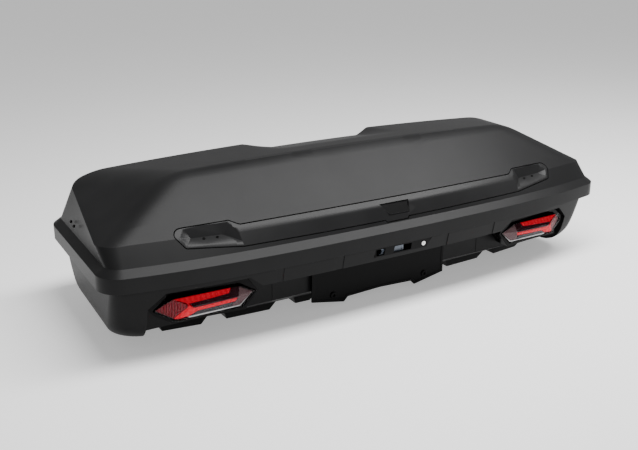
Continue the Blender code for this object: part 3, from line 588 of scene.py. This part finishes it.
def trim_section(x, low, high):
    """One cross-section of the trim as (s, n): lower face, crease, upper face and back."""
    c, k = math.cos(TRIM_TILT), math.sin(TRIM_TILT)

    def flat(d, h):
        return d * c + h * k, h * c - d * k

    foot = flat(rim_front(x) + FLANGE_IN, FLANGE_RISE)
    crease_d = crease_front(x)
    crease = flat(crease_d, lid_height(x, crease_d))
    crown = flat(crease_d + 0.05, lid_height(x, crease_d + 0.05))

    def face(s):
        wall = foot[1] + (crease[1] - foot[1]) * (s - foot[0]) / (crease[0] - foot[0])
        main = crease[1] + (crown[1] - crease[1]) * (s - crease[0]) / (crown[0] - crease[0])
        return soft_min(wall, main, 0.0024)

    r = min(EDGE_ROUND, (high - low) * 0.2)
    span = high - low - 2 * r
    middle = min(max((crease[0] - low - r) / span, 0.15), 0.85)
    w = min(0.006 / span, 0.12)
    shares = (middle / 2, middle - w, middle - w / 2, middle, middle + w / 2, middle + w, (1 + middle) / 2)
    steps = [math.radians(a) for a in (0, 30, 60, 90)]
    points = [(low + r * (1 - math.cos(a)), -r * (1 - math.sin(a))) for a in steps]
    points += [(low + r + span * share, 0.0) for share in shares]
    points += [(high - r * (1 - math.cos(a)), -r * (1 - math.sin(a))) for a in reversed(steps)]
    section = [(s, face(s) + drop) for s, drop in points]
    return section + [(s, face(s) - TRIM_THICK) for s in (high, low + r + span * middle, low)]


def grip_pocket(name):
    """Sloping floor, a steep back wall, a long slanted inner end and a short outer one."""
    inner, turn, outer = (Vector(p) for p in ((0.452, 0.0755, 0.046), (0.458, 0.0787, 0.0474),
                                              (0.5325, 0.0835, 0.05)))
    edges = ((inner, (0.4385, 0.0835, 0.0703)), (inner, (0.422, 0.0475, 0.0355)),
             (turn, (0.4435, 0.0836, 0.07)), (outer, (0.5427, 0.094, 0.069)),
             (outer, (0.557, 0.081, 0.0565)), (outer, (0.546, 0.067, 0.0435)))
    return hull(name, [inner, turn, outer] + [start + (Vector(rim) - start) * 3 for start, rim in edges])


def cover_outline(grow):
    low, high = COVER_LOW_S - grow, COVER_HINGE_S + grow
    return [(-0.02 - grow, low), (0.04 + grow, low), (0.0475 + grow, high), (-0.04 - grow, high)]


def cover_prism(name, grow, grow_back, low, high):
    return tube(name, [tilted(x, s, high) for x, s in cover_outline(grow)],
                [tilted(x, s, low) for x, s in cover_outline(grow_back)])


def make_trim():
    half = trim_half()
    widest = max(range(len(half)), key=lambda i: half[i][0])
    low, high = half[:widest + 1], list(reversed(half[widest:]))
    places = sorted({round(x, 5) for x, _ in half[:-1]})[:-1]
    places = [-x for x in reversed(places[1:])] + places
    rings = []
    for x in places:
        section = trim_section(abs(x), along_chain(low, abs(x)), along_chain(high, abs(x)))
        rings.append([tilted(x, s, n) for s, n in section])
    trim = loft("trim_bar", rings, triangles=False)
    pocket = grip_pocket("pocket_right")
    cut(trim, mirror_copy(pocket, "pocket_left"), pocket,
        barrel_rod("barrel_hole", -0.06, 0.03, 0.0118),
        cover_prism("cover_seat", 0.0008, 0.0008, COVER_TOP - 0.005, 0.05))
    dress(soften(trim, 0.0012, 38, 38), "trim_plastic", "lid", "handle_trim")


def make_cover():
    """Blank dark plate over the key, with a thin raised border."""
    cover = cover_prism("cover_plate", 0.0, -COVER_THICK, COVER_TOP - COVER_THICK, COVER_TOP)
    cut(cover, cover_prism("cover_field", -0.0022, -0.0022, COVER_TOP - 0.0004, 0.01))
    dress(soften(cover, 0.0003, 25, 30), "panel_black", "lock_cover", "lock_cover", material=SATIN)


def screw(name, centre, axis, radius, depth):
    """Round head with a six-lobed socket; axis is the way the head faces, in (x, d, h)."""
    centre, axis = Vector(centre), Vector(axis).normalized()
    head = soften(rod(name, centre - axis * depth, centre, radius), radius * 0.16, 40, segments=3)
    side = axis.orthogonal().normalized()
    for lobe in range(3):
        arm = Matrix.Rotation(math.radians(60 * lobe), 3, axis) @ side * radius * 0.5
        wide = axis.cross(arm).normalized() * radius * 0.14
        corners = [centre + sign * arm + way * wide + axis * lift for sign in (-1, 1)
                   for way in (-1, 1) for lift in (-radius * 0.5, radius * 0.3)]
        cut(head, hull("socket", corners))
    return settle(head, sharp=35)


def make_lid_screws():
    size = (0.0036, 0.005)
    for side, sign in (("right", 1), ("left", -1)):
        for place, depth in (("front", 0.332), ("back", 0.369)):
            x = 0.7267 - END_CREASE[1] * (depth - 0.332)
            head = screw(f"end_head_{place}_{side}", (sign * x, depth, 0.0415), (sign, 0, 0.35), *size)
            dress(head, "black_steel", "lid", f"end_screw_{place}_{side}", material=SATIN)
        for number, (x, d, h) in enumerate(((0.503, 0.0752, 0.048), (0.471, 0.0724, 0.0466))):
            head = screw(f"grip_screw_{number}_{side}", (sign * x, d, h), (0, -0.35, 1), *size)
            dress(head, "black_steel", "lid", material=SATIN)


# ---- base ----
# Rows from top to bottom: height, inset at the front, inset at the ends, corner radius
BASE_PROFILE = ((-0.048, 0.028, 0.028, 0.034), (-0.085, 0.0355, 0.0285, 0.044),
                (-0.12, 0.043, 0.03, 0.056), (-0.148, 0.053, 0.033, 0.065),
                (-0.17, 0.07, 0.042, 0.073), (-0.184, 0.092, 0.06, 0.078),
                (-0.19, 0.108, 0.077, 0.08))


def profile_at(t):
    """A smooth run through the base's profile, t from 0 to its last row."""
    low = min(int(t), len(BASE_PROFILE) - 2)
    share = t - low
    rows = [BASE_PROFILE[min(max(low + k, 0), len(BASE_PROFILE) - 1)] for k in (-1, 0, 1, 2)]
    result = []
    for a, b, c, e in zip(*rows):
        result.append(0.5 * (2 * b + (c - a) * share + (2 * a - 5 * b + 4 * c - e) * share ** 2
                             + (3 * b - a - 3 * c + e) * share ** 3))
    return result


def base_solid(name, outline, thick, steps):
    """The base's outer form (thick 0) or the hollow inside it."""
    if thick:
        top = [(0.05, SEAT_INSET + thick), (-0.0295, SEAT_INSET + thick),
               (-0.0315, STRIP_INSET + thick)]
    else:
        top = [(-0.002, SEAT_INSET), (-0.03, SEAT_INSET), (-0.03, 0.0055), (-0.034, 0.0055),
               (-0.036, STRIP_INSET)]
    rings = [outline.rim(inset, h) for h, inset in top]
    for i in range(steps + 1):
        h, inset, end, radius = profile_at(i * (len(BASE_PROFILE) - 1) / steps)
        inset += thick
        rings.append(outline.ring(h + thick, lambda x, i=inset: rim_front(x) + i, HALF_LENGTH - end - thick,
                                  SIDE_TAPER, DEPTH - inset, radius - thick, radius - thick))
    return loft(name, rings)


def recess_outline(grow):
    """The front recess from the front: open below, and stepped up round each lamp."""
    return mirrored([(0.0, -0.085 + grow), (0.372, -0.085 + grow), (0.406 - grow * 0.4, -0.057 + grow),
                     (0.607 + grow * 0.4, -0.06 + grow), (0.648 + grow, -0.096),
                     (0.648 + grow, -0.26), (0.0, -0.26)])


def recess_cutter(name, grow):
    """What the recess takes away: up to the wall, and under it a slope to the underside."""
    wall, foot, floor = WALL_BACK + grow, WALL_FOOT + grow * 0.3, BASE_FLOOR + grow
    beyond = 1.6
    rings = []
    for i in range(33):
        x = 0.66 * (i / 16 - 1)
        toe = TOE + grow * 0.3 + rim_front(x)
        end = (wall + (toe - wall) * beyond, foot + (floor - foot) * beyond)
        section = ((-0.1, 0.0), (wall, 0.0), (wall, foot), end, (-0.1, end[1]))
        rings.append([(x, d, h) for d, h in section])
    return cut(loft(name, rings), prism("outline", recess_outline(grow), -0.2, 0.3), operation="INTERSECT")


def strip_groove(name, low_x, high_x):
    """Cutter for a shallow upright groove in the strip between rim and recess."""
    points = []
    for x in (low_x, high_x):
        for h, inset in ((-0.04, 0.0262), (-0.09, 0.0366)):
            points += [(x, 0.0, h), (x, rim_front(x) + inset + 0.0014, h)]
    return hull(name, points)


def bezel_outline(grow):
    left, low, high = -0.061 - grow, -0.0735 - grow, -0.0505 + grow
    return [(left, low), (0.101 + grow * 0.7, low), (0.116 + grow * 0.7, high), (left, high)]


def make_base():
    base = base_solid("base_skin", FINE, 0.0, 30)
    hollow = base_solid("base_hollow", PLAIN, SKIN, 10)
    half, ceiling = CHANNEL
    cut(hollow, recess_cutter("recess_wall", SKIN),
        box("channel_wall", (-half - SKIN, 0.05, -0.3), (half + SKIN, 0.7, ceiling + SKIN)))
    cut(base, hollow, recess_cutter("front_recess", 0.0),
        box("channel", (-half, 0.05, -0.3), (half, 0.7, ceiling)),
        prism("release_opening", bezel_outline(0.0005), -0.1, 0.06))
    for x in (-HINGE_X, HINGE_X):
        cut(base, box("hinge_notch", (x - 0.048, 0.5335, -0.1), (x + 0.048, 0.6, 0.1)))
    for low, high in ((0.319, 0.337), (0.153, 0.173)):
        cut(base, strip_groove("groove", low, high), strip_groove("groove", -high, -low))
    for x in (0.326, -0.326):
        cut(base, box("wall_groove", (x - 0.01, 0.09, -0.17), (x + 0.01, WALL_BACK + 0.001, -0.0864)))
    dress(settle(base, sharp=32), "base_plastic", "base", "base_shell")


# ---- panel, release and skids ----
def make_panel():
    outline = mirrored([(0.0, -0.0862), (0.196, -0.0862), (0.209, -0.1), (0.209, -0.186),
                        (0.113, -0.204), (0.101, -0.192), (0.0, -0.188)])
    panel = prism("panel_plate", outline, 0.0925, 0.0975)
    cut(panel, prism("panel_field", grown(outline, -0.007), 0.0, 0.0937))
    dress(soften(panel, 0.0008, 30, 30), "panel_black", "base", "plate_panel")
    for side, sign in (("right", 1), ("left", -1)):
        head = screw(f"panel_head_{side}", (sign * 0.145, 0.0905, -0.179), (0, -1, 0), 0.009, 0.0028)
        dress(head, "black_steel", "base", f"panel_screw_{side}", material=PANEL)


def make_release():
    """Dark bezel with two windows, the grey lever behind it and the round key lock."""
    key_x, key_h = 0.09, -0.062
    bezel = prism("release_frame", bezel_outline(0.0), 0.0305, 0.059)
    inner = [(-0.059, -0.0715), (0.078, -0.0715), (0.078, -0.0525), (-0.059, -0.0525)]
    windows = [[(-0.058, -0.07), (-0.034, -0.07), (-0.03, -0.054), (-0.058, -0.054)],
               [(-0.005, -0.07), (0.05, -0.07), (0.052, -0.054), (-0.001, -0.054)]]
    cut(bezel, prism("bezel_hollow", inner, 0.0345, 0.07),
        *[prism("window", window, 0.02, 0.04) for window in windows],
        rod("lock_seat", (key_x, 0.02, key_h), (key_x, 0.07, key_h), 0.0063))
    dress(soften(bezel, 0.0006, 30, 30), "lamp_black", "base", "release_bezel", material=SATIN)
    lever = box("lever_slide", (-0.046, 0.036, -0.0705), (0.03, 0.04, -0.0535))
    join(lever, prism("lever_finger", [(0.004, -0.069), (0.024, -0.069), (0.02, -0.055), (-0.002, -0.055)],
                      0.0395, 0.048))
    cut(lever, prism("lever_notch", [(-0.05, -0.068), (-0.04, -0.068), (-0.036, -0.062),
                                     (-0.04, -0.056), (-0.05, -0.056)], 0.03, 0.05),
        prism("lever_dish", [(-0.004, -0.0675), (0.025, -0.0675), (0.022, -0.0565), (-0.001, -0.0565)],
              0.02, 0.0372))
    dress(soften(lever, 0.0005, 30, 30), "lever_grey", "release_lever", "release_lever")
    lock = rod("key_face", (key_x, 0.058, key_h), (key_x, 0.0295, key_h), 0.006, 48)
    soften(lock, 0.0006, 40, segments=3)
    cut(lock, box("key_slot", (key_x - 0.0007, 0.02, key_h - 0.0025),
                  (key_x + 0.0007, 0.034, key_h + 0.0025)))
    dress(settle(lock, sharp=35), "lock_metal", "release_lock", "release_lock")


def make_skids():
    """Six runners with slanted ends, a hollow top and a shallow tread under each."""
    foot, head, back, wall = -RIM_HEIGHT, BASE_FLOOR - 0.0003, 0.405, 0.014
    slant = (head - foot) * 0.5
    for name, inner, outer in (("skid_inner", 0.158, 0.226), ("skid_middle", 0.277, 0.42),
                               ("skid_outer", 0.463, 0.585)):
        points = []
        for x, way in ((inner, 1), (outer, -1)):
            front = TOE + 0.001 + rim_front(x)
            points += [(x, front, head), (x, back, head)]
            points += [(x + way * slant, front + slant, foot), (x + way * slant, back - slant, foot)]
        runner = hull(f"{name}_runner_right", points)
        front = TOE + rim_front(outer) + slant + wall
        cut(runner, box("hollow", (inner + wall, front, foot + 0.006), (outer - wall, back - wall, -0.17)))
        soften(runner, 0.0025, 25, segments=3)
        cut(runner, *[box("groove", (inner, d, foot - 0.01), (outer, d + 0.004, foot + 0.0015))
                      for d in (0.215, 0.265, 0.315, 0.345)])
        twins(settle(runner, sharp=30), "panel_black", "base", name)


# ---- lamps ----
LENS_RIM = ((0.597, 0.055, -0.075), (0.634, 0.078, -0.105), (0.586, 0.059, -0.134),
            (0.419, 0.059, -0.134), (0.384, 0.057, -0.099), (0.424, 0.05, -0.075))
LENS_RIDGE = ((0.555, 0.036, -0.095), (0.44, 0.04, -0.097))
LENS_MIDDLE = (0.508, -0.103)


def shrunk(points, amount, back):
    """Pulls points towards the lens's middle and away from the front."""
    middle_x, middle_h = LENS_MIDDLE
    result = []
    for x, d, h in points:
        span = math.hypot(x - middle_x, h - middle_h)
        share = max(span - amount, 0.0) / span
        result.append((middle_x + (x - middle_x) * share, d + back, middle_h + (h - middle_h) * share))
    return result


def moved(points, depth):
    return [(x, depth, h) for x, _, h in points]


def lamp_form(name, rim_in, rim_back, ridge_in, ridge_back, depth):
    rim = shrunk(LENS_RIM, rim_in, rim_back)
    ridge = shrunk(LENS_RIDGE, ridge_in, ridge_back)
    return hull(name, rim + ridge + moved(rim, depth))


# What stands behind the lens, as flat outlines (x, h) seen from the front
LAMP_INSIDE = {
    "lamp_bar_upper": [(0.4515, -0.077), (0.598, -0.0745), (0.559, -0.0895), (0.459, -0.0865)],
    "lamp_core": [(0.43, -0.0775), (0.4505, -0.0775), (0.458, -0.0875), (0.5585, -0.0905),
                  (0.548, -0.1015), (0.437, -0.102)],
    "lamp_bar_lower": [(0.4375, -0.103), (0.549, -0.1025), (0.56, -0.0935), (0.563, -0.1),
                       (0.591, -0.129), (0.5545, -0.125), (0.5365, -0.1135), (0.441, -0.112)],
    "lamp_side": [(0.599, -0.075), (0.64, -0.1), (0.593, -0.13), (0.564, -0.0998),
                  (0.561, -0.0925)],
    "lamp_strip": [(0.442, -0.113), (0.536, -0.1145), (0.553, -0.126), (0.449, -0.1285)],
    "lamp_reflector": [(0.429, -0.08), (0.392, -0.1), (0.425, -0.129), (0.448, -0.1285),
                       (0.4405, -0.1125), (0.436, -0.1025)],
    "lamp_line": [(0.38, -0.1005), (0.3908, -0.1005), (0.4252, -0.129), (0.5545, -0.1272),
                  (0.556, -0.134), (0.41, -0.134)],
}


def lamp_looks():
    bright = ribbed("lamp_red_bar", (0.46, 0.002, 0.012), (0.6, 0.003, 0.018), 25.0)
    feed(bright.node_tree.nodes["Principled BSDF"],
         {"Emission Color": (0.9, 0.002, 0.02, 1), "Emission Strength": 0.4})
    side = ribbed("lamp_red_side", (0.1, 0.004, 0.008), (0.26, 0.016, 0.026), 55.0)
    core = ribbed("lamp_plum_core", (0.018, 0.001, 0.004), (0.028, 0.002, 0.006), 60.0)
    smoke = ribbed("lamp_smoke", (0.006, 0.006, 0.007), (0.09, 0.09, 0.1), 70.0)
    prisms = ribbed("lamp_prisms", (0.03, 0.008, 0.01), (0.24, 0.15, 0.16), 110.0)
    white = moulded("lamp_white_line", (0.8, 0.8, 0.81), 0.3, grain=0.00002, spec=0.3, edge=1.0)
    return {"lamp_bar_upper": (bright, "lamp_red"), "lamp_bar_lower": (bright, "lamp_red"),
            "lamp_side": (side, "lamp_red"), "lamp_core": (core, "lamp_red"),
            "lamp_strip": (smoke, "lamp_clear"), "lamp_reflector": (prisms, "lamp_clear"),
            "lamp_line": (white, "lamp_clear")}


def make_lamps():
    looks = lamp_looks()
    clear = veil("lens_clear", (0.04, 0.035, 0.035), 0.08)
    lens = hull("lens_skin_right", [*LENS_RIM, *LENS_RIDGE, *moved(LENS_RIM, 0.088)])
    cut(lens, lamp_form("lens_hollow", 0.0035, 0.0025, 0.001, 0.003, 0.1))
    pieces = [(soften(lens, 0.0007, 20, 20), clear, "lamp_clear", "lamp_lens")]
    for name, outline in LAMP_INSIDE.items():
        piece = prism(f"{name}_right", outline, 0.02, 0.086)
        cut(piece, lamp_form("form", 0.0056, 0.0035, 0.0025, 0.0045, 0.0865), operation="INTERSECT")
        soften(piece, 0.0006, 25, 25)
        pieces.append((piece, *looks[name], "lamp_light_guide" if name == "lamp_bar_upper" else None))
    pieces.append((make_housing(), HOUSING, "lamp_black", "lamp_housing"))
    pieces.append((make_hood(), HOUSING, "lamp_black", None))
    for piece, material, slot, node in pieces:
        twins(piece, slot, "base", node, material)


def make_hood():
    """Thin black wall inside the lens's edge: only the facets show what is lit."""
    rim = shrunk(LENS_RIM, 0.0042, 0.002)
    hood = hull("lamp_hood_right", rim + moved(rim, 0.0866))
    inner = shrunk(LENS_RIM, 0.0053, 0.0)
    cut(hood, hull("inner", moved(inner, 0.0) + moved(inner, 0.1)))
    return settle(hood, sharp=25)


def make_housing():
    outline = [(0.3775, -0.0995), (0.4075, -0.0605), (0.6055, -0.0625), (0.6455, -0.097),
               (0.63, -0.118), (0.592, -0.1415), (0.412, -0.1415)]
    front = [(x, 0.058 + max(x - 0.45, 0.0) * 0.12, h) for x, h in outline]
    housing = hull("lamp_case_right", front + moved(front, WALL_BACK - 0.0003))
    rim = shrunk(LENS_RIM, -0.0003, 0)
    cut(housing, hull("seat", moved(rim, 0.02) + moved(rim, 0.0885)))
    return soften(housing, 0.001, 25, 25)


# ---- seal, mats, latch ----
def make_seal():
    """Rubber lip on the base's edge, all round under the lid's flange."""
    section = ((0.0105, -0.0017), (0.0175, -0.0017), (0.0175, 0.004), (0.0168, 0.005),
               (0.0158, 0.0047), (0.0117, 0.0017), (0.0105, 0.0005))
    bm = bmesh.new()
    loops = [[bm.verts.new(at(*p)) for p in FINE.rim(inset, h)] for inset, h in section]
    ring_faces(bm, loops + loops[:1])
    dress(settle(from_bmesh("seal_lip", bm), sharp=40), "rubber", "base", "rim_seal")


def make_mats():
    """One ribbed rubber mat on each half of the floor."""
    low, high, groove, count = 0.165, 0.52, 0.004, 15
    under, upper, dip = -0.1855, -0.1825, -0.1837
    step = (high - low) / count
    top = []
    for i in range(count):
        start = low + step * i
        end = start + step
        top += [(start, upper), (end - groove, upper), (end - groove * 0.75, dip), (end - groove * 0.25, dip)]
    outline = [(low, under), (high, under), (high, upper)] + list(reversed(top))
    twins(prism("ribbed_mat_right", outline, 0.175, 0.385), "rubber", "base", "floor_mat")


def make_latch():
    """Zinc bars with a foot, and the tongues on the base that they slide under."""
    bar_end, travel = 0.335, 0.022
    bar = box("latch_strip_right", (0.03, 0.052, -0.004), (bar_end, 0.056, 0.008))
    join(bar, box("tab", (bar_end - 0.01, 0.052, -0.03), (bar_end, 0.056, -0.003)),
         box("foot", (bar_end - 0.005, 0.048, -0.03), (bar_end + 0.011, 0.056, -0.025)))
    cut(bar, rod("slot", (0.05, 0.05, 0.002), (0.05, 0.06, 0.002), 0.0022))
    twins(soften(bar, 0.0006, 35, 35), "zinc_steel", "latch_bar_SIDE", "latch_bar")
    start, end = bar_end + travel + 0.0015, 0.392
    tongue = box("striker_tongue_right", (start, 0.046, -0.0225), (end, 0.059, -0.0195))
    join(tongue, box("leaf", (start, 0.045, -0.058), (end, 0.0474, -0.02)))
    twins(soften(tongue, 0.0007, 35, 35), "zinc_steel", "base", "striker")
    for h in (-0.036, -0.049):
        head = screw("striker_head_right", (0.375, 0.045, h), (0, -1, 0), 0.0038, 0.002)
        twins(head, "zinc_steel", "base")


def make_barrel():
    """Key barrel of the lid lock, with its cam arm under the trim."""
    barrel = soften(barrel_rod("key_barrel", -0.04, -0.0046, 0.011, 56), 0.0008, 40, segments=3)
    arm = [tilted(x, LOCK_S - s, n) for n in (-0.0395, -0.0365)
           for x, s in ((-0.007, 0.0), (0.007, 0.0), (-0.004, 0.018), (0.004, 0.018))]
    slot = [tilted(x, LOCK_S + s, n) for x in (-0.0008, 0.0008) for s in (-0.004, 0.004)
            for n in (-0.0086, 0.0)]
    join(barrel, hull("cam_arm", arm))
    cut(barrel, hull("key_slot", slot))
    dress(settle(barrel, sharp=35), "lock_metal", "lock_barrel", "lock_barrel")


# ---- hinges and gas struts ----
HINGE = (0.537, -0.045)
STRUT_X, STRUT_FOOT, STRUT_HEAD = 0.684, (0.42, -0.13), (0.35, 0.035)


def cross_rod(name, x, reach, place, radius, sides=40):
    """A round piece along the box's length, centred on x."""
    return rod(name, (x - reach, *place), (x + reach, *place), radius, sides)


def make_hinges():
    """Base leaf and lid leaf with their knuckles, the pin through them and three screws."""
    d, h = HINGE
    leaf = box("base_leaf_right", (HINGE_X - 0.04, 0.5174, -0.11), (HINGE_X + 0.04, 0.5198, -0.046))
    join(leaf, box("arm", (HINGE_X - 0.04, 0.518, h - 0.0042), (HINGE_X + 0.04, d, h - 0.0015)),
         cross_rod("knuckle", HINGE_X, 0.04, HINGE, 0.0045))
    cut(leaf, box("gap", (HINGE_X - 0.0205, d - 0.006, h - 0.01), (HINGE_X + 0.0205, d + 0.01, h + 0.01)),
        cross_rod("bore", HINGE_X, 0.05, HINGE, 0.0023))
    twins(soften(leaf, 0.0006, 40, 35), "black_steel", "base", "hinge_leaf_base")
    lid_leaf = cross_rod("lid_leaf_right", HINGE_X, 0.02, HINGE, 0.0045)
    join(lid_leaf, box("plate", (HINGE_X - 0.02, 0.5377, h + 0.001), (HINGE_X + 0.02, 0.5407, -0.006)))
    cut(lid_leaf, cross_rod("bore", HINGE_X, 0.05, HINGE, 0.0023))
    twins(soften(lid_leaf, 0.0006, 40, 35), "black_steel", "lid", "hinge_leaf_lid")
    pin = cross_rod("pin_right", HINGE_X, 0.041, HINGE, 0.002, 24)
    twins(soften(pin, 0.0006, 40, 35), "zinc_steel", "base", "hinge_pin")
    for number, (x, height) in enumerate(((-0.03, -0.095), (0.03, -0.095), (0.0, -0.07))):
        head = screw(f"leaf_head_{number}_right", (HINGE_X + x, 0.5216, height), (0, 1, 0), 0.0045, 0.002)
        twins(head, "zinc_steel", "base")


def strut_rod(name, start, end, radius, sides=32):
    """A round piece on the strut's axis, from start to end beyond the foot's eye."""
    foot, head = Vector(STRUT_FOOT), Vector(STRUT_HEAD)
    way = (head - foot).normalized()
    return rod(name, (STRUT_X, *(foot + way * start)), (STRUT_X, *(foot + way * end)), radius, sides)


def make_struts():
    """Black cylinder with an eye and a gland, rod with its socket, and the studs they turn on."""
    length = (Vector(STRUT_HEAD) - Vector(STRUT_FOOT)).length
    cylinder = soften(strut_rod("gas_cylinder_right", 0.011, 0.162, 0.009, 48), 0.0018, 40, segments=3)
    join(cylinder, strut_rod("gland", 0.155, 0.168, 0.0074, 48),
         strut_rod("neck", 0.004, 0.014, 0.0052),
         cross_rod("eye", STRUT_X, 0.006, STRUT_FOOT, 0.0085))
    cut(cylinder, strut_rod("bore", 0.025, 0.19, 0.0044),
        cross_rod("eye_bore", STRUT_X, 0.02, STRUT_FOOT, 0.0043))
    twins(soften(cylinder, 0.0004, 50, 35), "black_steel", "strut_cylinder_SIDE", "strut_cylinder")
    plunger = strut_rod("gas_rod_right", 0.029, length, 0.004)
    join(plunger, cross_rod("socket", STRUT_X, 0.006, STRUT_HEAD, 0.008),
         strut_rod("ferrule", length - 0.009, length, 0.0058))
    twins(soften(plunger, 0.0004, 50, 35), "zinc_steel", "strut_rod_SIDE", "strut_rod")
    d, h = STRUT_FOOT
    stud = rod("foot_stud_right", (STRUT_X - 0.008, d, h), (0.696, d, h), 0.004)
    join(stud, box("plate", (0.695, d - 0.016, h - 0.014), (0.698, d + 0.012, h + 0.018)))
    twins(soften(stud, 0.0008, 40, 35), "zinc_steel", "base", "strut_stud_base")
    d, h = STRUT_HEAD
    bracket = box("head_bracket_right", (0.7, d - 0.03, h - 0.014), (0.703, d + 0.03, h + 0.015))
    soften(bracket, 0.0009, 40)
    join(bracket, rod("stud", (0.6915, d, h), (0.7015, d, h), 0.0045))
    twins(settle(bracket, sharp=35), "black_steel", "lid", "strut_bracket_lid")


# ---- platform and tow coupling ----
def square_tube(name, low, high, wall, along):
    """Box section with rounded corners, open at both ends of one axis (0 for x, 1 for d)."""
    tube_piece = soften(box(name, low, high), 0.004, 40, segments=4)
    inner_low = [v + wall for v in low]
    inner_high = [v - wall for v in high]
    inner_low[along], inner_high[along] = low[along] - 0.1, high[along] + 0.1
    cut(tube_piece, soften(box("bore", inner_low, inner_high), 0.0015, 40))
    return settle(tube_piece, sharp=35)


def hex_bolt(name, x, d, h, radius=0.0075):
    """Hexagon head with a chamfered crown, on a washer, facing down."""
    head = rod(name, (x, d, h + 0.0012), (x, d, h - 0.004), radius, 6, radius * 0.93)
    join(head, rod("washer", (x, d, h + 0.0014), (x, d, h - 0.0006), radius * 1.25, 40))
    dress(soften(head, 0.0003, 30, 25), "zinc_steel", "base")


def make_platform():
    reach, under, upper, wall = CHANNEL[0] - 0.004, -0.186, -0.161, 0.003
    for name, near in (("platform_beam_front", 0.112), ("platform_beam_rear", 0.42)):
        beam = square_tube(f"{name}_tube", (-reach, near, under), (reach, near + 0.045, upper), wall, 0)
        dress(beam, "black_steel", "base", name)
        for x in (-0.085, 0.085):
            hex_bolt(f"{name}_bolt", x, near + 0.0225, under)
    spine = square_tube("platform_spine_tube", (-0.032, 0.108, upper + 0.0003),
                        (0.032, 0.585, -0.129), wall, 1)
    dress(spine, "black_steel", "base", "platform_spine")


def make_coupling():
    """Cast clamp for a 50 mm ball with its jaw, over-centre lever and rubber grip."""
    ball, pivot, handle = (0, 0.622, -0.166), (0.6, -0.125), (0.59, -0.063)
    cast = box("coupling_cast", (-0.04, 0.5855, -0.19), (0.04, 0.67, -0.118))
    housing = soften(cast, 0.007, 40, segments=4)
    space = bmesh.new()
    bmesh.ops.create_uvsphere(space, u_segments=48, v_segments=24, radius=0.0255,
                              matrix=Matrix.Translation(at(*ball)))
    cut(housing, from_bmesh("ball_space", space), rod("mouth", (*ball[:2], -0.21), ball, 0.024, 48),
        box("jaw_space", (-0.0165, 0.64, -0.2), (0.0165, 0.6615, -0.13)),
        cross_rod("bore", 0, 0.06, pivot, 0.0063),
        box("lever_slot", (-0.06, 0.59, -0.125), (0.06, 0.612, -0.1)))
    dress(soften(housing, 0.0008, 50, 35), "black_steel", "base", "coupling_housing")
    jaw = box("jaw_plate", (-0.016, 0.649, -0.188), (0.016, 0.654, -0.133))
    dress(soften(jaw, 0.0012, 40, 35, segments=3), "zinc_steel", "coupling_jaw", "coupling_jaw")
    lever = cross_rod("lever_yoke", 0, 0.054, pivot, 0.006)
    for low in (-0.05, 0.044):
        cheek = hull("cheek", [(low + s, d, h) for s in (0, 0.006) for d, h in
                               ((0.591, -0.134), (0.609, -0.134), (0.584, -0.058), (0.598, -0.058))])
        join(lever, cheek)
    join(lever, cross_rod("grip_bar", 0, 0.055, handle, 0.0062))
    dress(soften(lever, 0.0008, 50, 35), "zinc_steel", "coupling_lever", "coupling_lever")
    grip = cross_rod("lever_grip", 0, 0.0435, handle, 0.008, 48)
    for i in range(9):
        x = 0.009 * (i - 4)
        cut(grip, cut(cross_rod("ring", x, 0.0012, handle, 0.01, 48),
                      cross_rod("core", x, 0.01, handle, 0.0072, 48)))
    dress(soften(grip, 0.0004, 40, 35), "rubber", "coupling_lever")


# ---- pieces kept from the frame ----
def dress_rest():
    """Gives each CAD node its slot's material, and rounds the lid's inner frame and guides."""
    for part in frame["record"]["subparts"]:
        obj = frame["nodes"][part["node"]]
        obj.data.materials.clear()
        obj.data.materials.append(BY_SLOT[part["material_slot"]])
        if part["node"].startswith(("lid_frame", "latch_guide")):
            bevel(obj, 0.0005, 2, 40)


# ---- camera, floor and light ----
def aim(obj, direction):
    obj.rotation_euler = direction.to_track_quat("-Z", "Y").to_euler()


def make_camera():
    """Looks from the left of straight on and a little above, as a 50 mm lens does."""
    azimuth, elevation, distance = math.radians(31.26), math.radians(18.89), 2.066
    level = math.cos(elevation)
    look = Vector((math.sin(azimuth) * level, math.cos(azimuth) * level, -math.sin(elevation)))
    camera = linked("camera", bpy.data.cameras.new("camera"))
    camera.data.lens = 50
    camera.data.sensor_width = 36
    camera.location = at(-0.2448, 0.0, 0.0555) - look * distance
    aim(camera, look)
    bpy.context.scene.camera = camera


def area_light(name, place, target, size, power):
    light = linked(name, bpy.data.lights.new(name, "AREA"))
    light.data.shape = "RECTANGLE"
    light.data.size, light.data.size_y = size
    light.data.energy = power
    light.visible_camera = False
    light.location = place
    aim(light, Vector(target) - Vector(place))


def make_studio():
    bm = bmesh.new()
    bmesh.ops.create_grid(bm, x_segments=1, y_segments=1, size=12.0)
    floor = from_bmesh("floor", bm)
    material, _, shader = shader_of("floor_paint")
    feed(shader, {"Base Color": (0.85, 0.85, 0.85, 1), "Roughness": 0.9, "Emission Color": (1, 1, 1, 1),
                  "Emission Strength": 0.4})
    floor.data.materials.append(material)
    world = bpy.data.worlds.new("studio")
    world.use_nodes = True
    feed(world.node_tree.nodes["Background"], {"Color": (1, 1, 1, 1), "Strength": 0.3})
    bpy.context.scene.world = world
    area_light("top", (0.65, -0.6, 2.2), (0.65, -0.1, 0.25), (3.2, 0.8), 135)
    area_light("low", (-1.9, 1.9, 0.28), (-0.74, 0.0, 0.12), (1.3, 0.5), 0.75)


dress_rest()
make_lid()
make_trim()
make_cover()
make_lid_screws()
make_base()
make_panel()
make_release()
make_skids()
make_lamps()
make_seal()
make_mats()
make_latch()
make_barrel()
make_hinges()
make_struts()
make_platform()
make_coupling()
make_camera()
make_studio()
